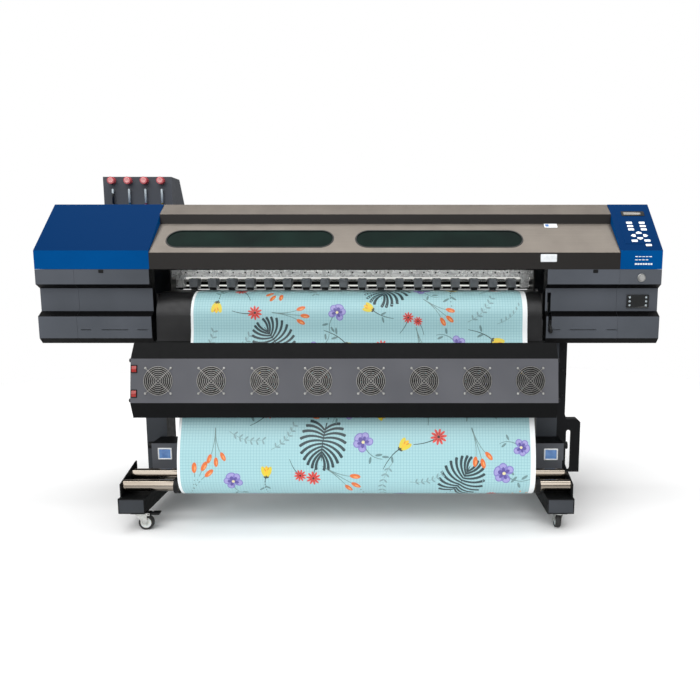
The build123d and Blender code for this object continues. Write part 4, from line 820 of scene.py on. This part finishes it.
# Wound vinyl: pale and smooth, with rings on its ends and dark flanges.
material, tree, shader = start("wound banner vinyl", 0.42)
place = add(tree, "ShaderNodeTexCoord")
roll_y, roll_z = front + 0.513, 0.600
centred = add(tree, "ShaderNodeMapping", None, {
    "Vector": place.outputs["Object"], "Location": (0, -roll_y, -roll_z)})
parts = add(tree, "ShaderNodeSeparateXYZ", None, {"Vector": centred})
squares = [add(tree, "ShaderNodeMath", {"operation": "MULTIPLY"}, {0: value, 1: value})
           for value in (parts.outputs["Y"], parts.outputs["Z"])]
total = add(tree, "ShaderNodeMath", {"operation": "ADD"}, {0: squares[0], 1: squares[1]})
radius = add(tree, "ShaderNodeMath", {"operation": "SQRT"}, {0: total})
ring_wave = add(tree, "ShaderNodeMath", {"operation": "SINE"}, {0: add(
    tree, "ShaderNodeMath", {"operation": "MULTIPLY"}, {0: radius, 1: 2 * math.pi / 0.003})})
layer = add(tree, "ShaderNodeMapRange", None, {"Value": ring_wave, "From Min": -1.0, "From Max": 1.0})
rolled = add(tree, "ShaderNodeMix", {"data_type": "RGBA"}, {
    0: layer, 6: linear("#c7dadd"), 7: linear("#e8f1f2")})
off_middle = add(tree, "ShaderNodeMath", {"operation": "ABSOLUTE"}, {0: add(
    tree, "ShaderNodeMath", {"operation": "SUBTRACT"}, {0: parts.outputs["X"], 1: 0.045})})
beyond = add(tree, "ShaderNodeMath", {"operation": "GREATER_THAN"}, {0: off_middle, 1: 0.7622})
fitted = add(tree, "ShaderNodeMix", {"data_type": "RGBA"}, {
    0: beyond, 6: rolled.outputs[2], 7: linear("#26282b")})
tree.links.new(fitted.outputs[2], shader.inputs["Base Color"])
dress(material, "supply_roll")


# ---- Loaded media --------------------------------------------------------------------------------
# The sheet comes off the supply roll, over the rear apron, across the bed and down behind the dryer,
# then hangs in a loop under the winder's front roller. It is printed banner vinyl: a pale aqua field
# with a fine grid and loose flowers of our own design, inside white margins. It is blank before the head.

def rounded_path(points, radii, step):
    """Dense points along a chain whose corners are arcs. An arc of radius r that turns by t starts
    r tan(t / 2) before its corner, and runs about a centre r away on the inner side."""
    points = np.array(points, float)
    pieces = [points[:1]]
    for k, r in enumerate(radii):
        before, corner, after = points[k:k + 3]
        way_in = (corner - before) / np.linalg.norm(corner - before)
        way_out = (after - corner) / np.linalg.norm(after - corner)
        turn = math.atan2(way_in[0] * way_out[1] - way_in[1] * way_out[0], way_in @ way_out)
        begin = corner - way_in * r * math.tan(abs(turn) / 2)
        normal = math.copysign(1, turn) * np.array([-way_in[1], way_in[0]])
        angles = np.linspace(0, abs(turn), max(3, int(r * abs(turn) / step)))[:, None]
        pieces.append(begin + r * np.sin(angles) * way_in + r * (1 - np.cos(angles)) * normal)
    pieces.append(points[-1:])
    corners = np.concatenate(pieces)
    run = np.concatenate([[0], np.cumsum(np.linalg.norm(np.diff(corners, axis=0), axis=1))])
    places = np.linspace(0, run[-1], int(run[-1] / step))
    return places, np.column_stack([np.interp(places, run, column) for column in corners.T])


web_chain = [(426.8, 600), (426.8, 1014.8), (31.2, 1014.8), (18.2, 791), (-185, 480), (-242, 340), (-242, 140),
             (-64.2, 140), (-64.2, 214)]
web_radii = [74.8, 110.8, 240, 260, 400, 105, 66]
chain = [(front + y / 1000, z / 1000) for y, z in web_chain]
run, line = rounded_path(chain, [r / 1000 for r in web_radii], 0.006)
web_length = run[-1]
web_width = web_high[0] - web_low[0]
slope = np.gradient(line, run, axis=0)
outward = np.column_stack([-slope[:, 1], slope[:, 0]])
outward /= np.linalg.norm(outward, axis=1)[:, None]
outward *= np.sign(outward[np.argmax(line[:, 1]), 1])
print_line = run[np.argmin(np.abs(line[:, 0] - (front + 0.262)) + 10 * (line[:, 1] < 1.0))]
apron_end = run[np.argmin(np.abs(line[:, 1] - 0.79) + 10 * (line[:, 0] > front + 0.2))]


def on_web(across, along, lift):
    """Points on the sheet from its left edge and its start, raised by lift. Where it hangs free it also
    has a slight ripple: 1.5 mm sin(5 across) that grows in over 300 mm past the bed."""
    across, along = np.broadcast_arrays(across, along)
    free = np.clip((along - apron_end) / 0.3, 0, 1) * np.clip((web_length - 0.35 - along) / 0.2, 0, 1)
    ripple = 0.0015 * np.sin(across * 5.2 + along * 1.7) * free
    y, z, ny, nz = (np.interp(along, run, column) for column in (*line.T, *outward.T))
    off = lift + ripple
    return np.stack([web_low[0] + across, y + ny * off, z + nz * off], -1)


# Banner vinyl: a satin sheet, pale aqua with a fine grid, white at its margins and where still blank.
material, tree, shader = start("printed banner vinyl, aqua grid", 0.42, Sheen_Weight=0.05)
cloth = add(tree, "ShaderNodeUVMap", {"uv_map": "sheet"})
grid = add(tree, "ShaderNodeTexBrick", {"offset": 0.0}, {
    "Vector": cloth, "Scale": 1.0, "Brick Width": 0.0125, "Row Height": 0.0125, "Mortar Size": 0.0011,
    "Mortar Smooth": 0.3,
    "Color1": linear("#a3cdd2"), "Color2": linear("#a3cdd2"), "Mortar": linear("#8db9c1")})
parts = add(tree, "ShaderNodeSeparateXYZ", None, {"Vector": cloth})
after_left = add(tree, "ShaderNodeMath", {"operation": "GREATER_THAN"}, {0: parts.outputs["X"], 1: 0.012})
before_right = add(tree, "ShaderNodeMath", {"operation": "LESS_THAN"}, {
    0: parts.outputs["X"], 1: web_width - 0.022})
between = add(tree, "ShaderNodeMath", {"operation": "MULTIPLY"}, {0: after_left, 1: before_right})
past_head = add(tree, "ShaderNodeMath", {"operation": "GREATER_THAN"}, {
    0: parts.outputs["Y"], 1: float(print_line)})
printed = add(tree, "ShaderNodeMath", {"operation": "MULTIPLY"}, {0: between, 1: past_head})
ink = add(tree, "ShaderNodeMix", {"data_type": "RGBA"}, {
    0: printed, 6: linear("#eef2f3"), 7: grid.outputs["Color"]})
tree.links.new(ink.outputs[2], shader.inputs["Base Color"])
thread = add(tree, "ShaderNodeBump", None, {"Height": clouds(tree, 0.0025, 1.0), "Distance": 0.00003})
tree.links.new(thread.outputs[0], shader.inputs["Normal"])

columns = 160
rows = len(run)
across = np.linspace(0, web_width, columns)
points = on_web(across[None, :], run[:, None], 0.0003).reshape(-1, 3)
quads = weave(rows, columns)
web = make("loaded_media", (points, [quads]), material, "frame")
sheet_map = web.data.uv_layers.new(name="sheet")
flat = np.stack(np.broadcast_arrays(across[None, :], run[:, None]), -1).reshape(-1, 2)
sheet_map.data.foreach_set("uv", flat[quads.reshape(-1)].ravel())
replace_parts(web, "media_web")


def discs(places, turns, lengths, widths, rings=3, around=12):
    """Filled ellipses: place + turn (length / 2 * q cos a, width / 2 * q sin a) for rings q and angles a."""
    places, turns = np.asarray(places, float).reshape(-1, 2), np.asarray(turns, float).reshape(-1, 1, 1)
    lengths, widths = (np.broadcast_to(v, len(places)).reshape(-1, 1, 1) for v in (lengths, widths))
    q = (np.arange(rings) + 1)[:, None] / rings
    a = np.linspace(0, 2 * np.pi, around, endpoint=False)[None, :]
    along, side = lengths / 2 * (q * np.cos(a)), widths / 2 * (q * np.sin(a))
    x = places[:, 0, None, None] + along * np.cos(turns) - side * np.sin(turns)
    y = places[:, 1, None, None] + along * np.sin(turns) + side * np.cos(turns)
    points = np.stack([x, y], -1).reshape(len(places), -1, 2)
    faces = weave(rings, around, True)[:, ::-1]
    cap = np.arange(around)
    shift = (np.arange(len(places)) * rings * around)[:, None, None]
    caps = (cap[None, None] + shift).reshape(-1, around)
    return points.reshape(-1, 2), [(faces[None] + shift).reshape(-1, 4), caps]


def strokes(starts, bends, ends, width, taper=0.5, steps=9):
    """Curved strokes: points on a quadratic curve through a bend, moved to each side by half of
    width * (1 - taper t), so a taper below 0 makes the stroke broaden. The last step rounds its end."""
    starts, bends, ends = (np.asarray(p, float).reshape(-1, 1, 2) for p in (starts, bends, ends))
    t = np.append(np.linspace(0, 1, steps - 1), 1.0)[None, :, None]
    middle = (1 - t) ** 2 * starts + 2 * t * (1 - t) * bends + t ** 2 * ends
    way = 2 * (1 - t) * (bends - starts) + 2 * t * (ends - bends)
    way /= np.linalg.norm(way, axis=2, keepdims=True)
    broad = np.full((1, steps, 1), 1.0)
    broad[:, -1] = 0.45
    middle[:, -1] += way[:, -1] * width * 0.3
    side = np.stack([-way[..., 1], way[..., 0]], -1) * width / 2 * (1 - taper * t) * broad
    points = np.stack([middle + side, middle - side], 2).reshape(-1, 2)
    shift = (np.arange(len(starts)) * steps * 2)[:, None, None]
    return points, [(weave(steps, 2)[None] + shift).reshape(-1, 4)]


def turn_by(points, angle, place):
    """Points of one motif, drawn pointing along +X about zero, turned and moved to its place."""
    c, s = math.cos(angle), math.sin(angle)
    return np.asarray(points, float) @ np.array([[c, s], [-s, c]]) + place


print_layers = {}


def print_on(colour, shape, lift=0.00025):
    """Keeps a flat shape to be laid on the sheet in one colour."""
    points, faces = shape
    keep = (points[:, 0] > 0.012) & (points[:, 0] < web_width - 0.022) & (points[:, 1] > print_line)
    if keep.all():
        print_layers.setdefault((colour, lift), []).append((points, faces))


def stem(colour, points, angle, place, width):
    """A stroke through a motif's three points: where it starts, bends and ends. Returns them in place."""
    line = turn_by(points, angle, place)
    print_on(colour, strokes(line[:1], line[1:2], line[2:], width))
    return line


def fern(place, angle, size):
    """A broad leaf: a bowed rib with ten fingers on each side. A finger leaves the rib at 105 degrees near
    the stalk and at 25 degrees near the tip, bends forward and broadens, and is longest before the middle."""
    stem("#2e4247", [(-0.68 * size, -0.05 * size), (-0.1 * size, 0.05 * size), (0.42 * size, 0)],
         angle, place, 0.034 * size)
    t = np.linspace(0.0, 1.0, 10)
    for side in (-1, 1):
        heading = np.radians(118 - 104 * t)
        reach = size * (0.24 + 0.36 * np.sin(np.pi * (0.14 + 0.74 * t)) ** 0.8)
        root = np.column_stack([(-0.36 + 0.62 * t) * size, (0.01 + 0 * t) * size])
        tip = root + np.column_stack([reach * np.cos(heading), side * reach * np.sin(heading)])
        ahead = heading + 0.38
        bend = root + 0.6 * np.column_stack([reach * np.cos(ahead), side * reach * np.sin(ahead)])
        root, bend, tip = (turn_by(p, angle, place) for p in (root, bend, tip))
        print_on("#2e4247", strokes(root, bend, tip, 0.047 * size, -0.6))


def daisy(place, angle, size, colour="#d8483f"):
    """Ten slim petals about a dark eye with a ring of dots, on a bent stem."""
    stem("#3a5253", [(0, 0), (-0.6 * size, 0.32 * size), (-1.5 * size, 0.25 * size)],
         angle, place, 0.07 * size)
    a = angle + np.linspace(0, 2 * np.pi, 10, endpoint=False)
    centres = np.asarray(place) + 0.28 * size * np.column_stack([np.cos(a), np.sin(a)])
    print_on(colour, discs(centres, a, 0.42 * size, 0.15 * size), 0.0003)
    inner = np.asarray(place) + 0.2 * size * np.column_stack([np.cos(a), np.sin(a)])
    print_on("#9c2b2e", discs(inner, a, 0.2 * size, 0.045 * size), 0.00035)
    print_on("#3a2226", discs([place], [0], 0.17 * size, 0.17 * size), 0.0004)


def twin_daisies(place, angle, size):
    """Two daisies on one forked stem."""
    daisy(place, angle, size)
    daisy(turn_by([(0.25 * size, 0.85 * size)], angle, place)[0], angle - 0.9, size * 0.85)


def tulip(place, angle, size):
    """Three overlapping pointed petals in a dark cup, with orange marks, on a long stem with two leaves."""
    stem("#3a5253", [(-0.2 * size, 0), (-1.0 * size, -0.25 * size), (-2.1 * size, 0.12 * size)],
         angle, place, 0.075 * size)
    print_on("#6a8b8e", discs(turn_by([(-1.2 * size, 0.10 * size), (-1.4 * size, -0.35 * size)], angle, place),
                              [angle + 2.2, angle - 2.3], 0.5 * size, 0.16 * size))
    print_on("#41473a", discs([turn_by([(-0.3 * size, 0)], angle, place)[0]], [angle], 0.24 * size, 0.4 * size))
    petals = turn_by([(0.1 * size, 0.2 * size), (0.1 * size, -0.2 * size), (0.16 * size, 0)], angle, place)
    print_on("#dcc93a", discs(petals[:2], [angle + 0.3, angle - 0.3], 0.8 * size, 0.34 * size), 0.0003)
    print_on("#e9c12f", discs(petals[2:], [angle], 0.72 * size, 0.30 * size), 0.00035)
    print_on("#d98a2b", discs(turn_by([(0.3 * size, 0.12 * size), (0.22 * size, -0.1 * size)], angle, place),
                              [angle + 0.4, angle - 0.4], 0.26 * size, 0.08 * size), 0.0004)


def pansy(place, angle, size):
    """Five round petals, the lowest the widest, pale at the middle, with a stem and two leaves behind."""
    stem("#6a8b8e", [(0, 0), (-0.7 * size, -0.35 * size), (-1.2 * size, 0.1 * size)],
         angle, place, 0.055 * size)
    leaves = turn_by([(-0.85 * size, -0.35 * size), (-0.95 * size, 0.12 * size)], angle, place)
    print_on("#6a8b8e", discs(leaves, [angle - 2.2, angle + 2.2], 0.34 * size, 0.12 * size))
    a = angle + np.radians([0, 62, 128, 232, 298])
    centres = np.asarray(place) + 0.27 * size * np.column_stack([np.cos(a), np.sin(a)])
    widths = np.array([0.56, 0.4, 0.40, 0.40, 0.4]) * size
    print_on("#8079bd", discs(centres, a, 0.44 * size, widths), 0.0003)
    rims, hearts = place + 1.25 * (centres - place), place + 0.6 * (centres - place)
    print_on("#9f9ad0", discs(rims, a, 0.2 * size, widths * 0.7), 0.00035)
    print_on("#5a4f99", discs(hearts, a, 0.26 * size, widths * 0.36), 0.0004)
    print_on("#e3d9a4", discs([place], [0], 0.15 * size, 0.15 * size), 0.00045)


def buds(place, angle, size):
    """Three orange buds at the ends of forked stems."""
    tips = turn_by([(0.5 * size, 0.30 * size), (0.66 * size, 0.0), (0.42 * size, -0.32 * size)], angle, place)
    root = turn_by([(-0.9 * size, 0.05 * size)], angle, place).repeat(3, 0)
    bend = turn_by([(-0.05 * size, 0.02 * size)], angle, place).repeat(3, 0)
    print_on("#6c8888", strokes(root, bend, tips, 0.038 * size))
    ways = angle + np.array([0.35, 0, -0.45])
    print_on("#dd6f35", discs(tips, ways, 0.44 * size, 0.2 * size), 0.0003)
    print_on("#eda267", discs(tips + 0.03 * size, ways, 0.2 * size, 0.06 * size), 0.00035)


def sprig(place, angle, size):
    """A pale curved stem with six pairs of small leaves."""
    line = stem("#86a7aa", [(-0.9 * size, -0.1 * size), (0, 0.35 * size), (0.9 * size, -0.05 * size)],
                angle, place, 0.035 * size)
    t = np.linspace(0.15, 0.95, 6)[:, None]
    on_stem = (1 - t) ** 2 * line[0] + 2 * t * (1 - t) * line[1] + t ** 2 * line[2]
    for side in (-1, 1):
        heading = angle + side * 0.9
        centres = on_stem + 0.12 * size * np.array([math.cos(heading), math.sin(heading)])
        print_on("#7f9fa4", discs(centres, np.full(6, heading), 0.24 * size, 0.085 * size))


chance = np.random.default_rng(7)
motifs = [(fern, 0.165), (daisy, 0.066), (tulip, 0.062), (sprig, 0.085), (pansy, 0.088), (buds, 0.10),
          (twin_daisies, 0.058), (sprig, 0.08), (tulip, 0.066), (pansy, 0.08), (buds, 0.095)]
spacing_across, spacing_along = 0.165, 0.150
for row in range(int(web_length / spacing_along)):
    for column in range(int(web_width / spacing_across) + 1):
        draw, size = motifs[(column * 4 + row * 6) % len(motifs)]
        x = (column + 0.5 * (row % 2)) * spacing_across + chance.uniform(-0.028, 0.028) + 0.06
        y = (row + 0.5) * spacing_along + chance.uniform(-0.028, 0.028)
        if size < y < web_length - size:
            draw((x, y), chance.uniform(0, 2 * np.pi), size * chance.uniform(0.9, 1.12))

for number, ((colour, lift), shapes) in enumerate(sorted(print_layers.items(), key=lambda item: item[0][1])):
    flat_points = np.concatenate([points for points, faces in shapes])
    counts = np.cumsum([0] + [len(points) for points, faces in shapes])
    faces = [face + start_at for (points, some), start_at in zip(shapes, counts) for face in some]
    solid = on_web(flat_points[:, 0], flat_points[:, 1], 0.0003 + lift)
    # Solvent ink: one flat colour that takes the sheet's own gloss, with no edge to see.
    ink = surface("solvent ink " + colour[1:], 0.4, colour, colour, 0.02)
    make("printed_layer_%d" % number, (solid, faces), ink, "frame")


# ---- Floor ---------------------------------------------------------------------------------------
# A round pale painted studio floor, as bright as the white room behind it, so its edge is lost.

# Matt paint: it takes the machine's soft shadow and shows no reflection.
material = surface("pale floor paint", 0.95, "#f6f6f6", "#f8f8f8", 0.8, Specular_IOR_Level=0.1)
disc, faces = turned([(0.01, 0.0), (2.0, 0.0), (4.5, 0.0)], 96)
mesh = bpy.data.meshes.new("floor")
mesh.from_pydata((disc * (1, 1, 0)).tolist(), [], faces[0].tolist() + faces[1][:1].tolist())
mesh.materials.append(material)
floor = bpy.data.objects.new("floor", mesh)
bpy.context.collection.objects.link(floor)
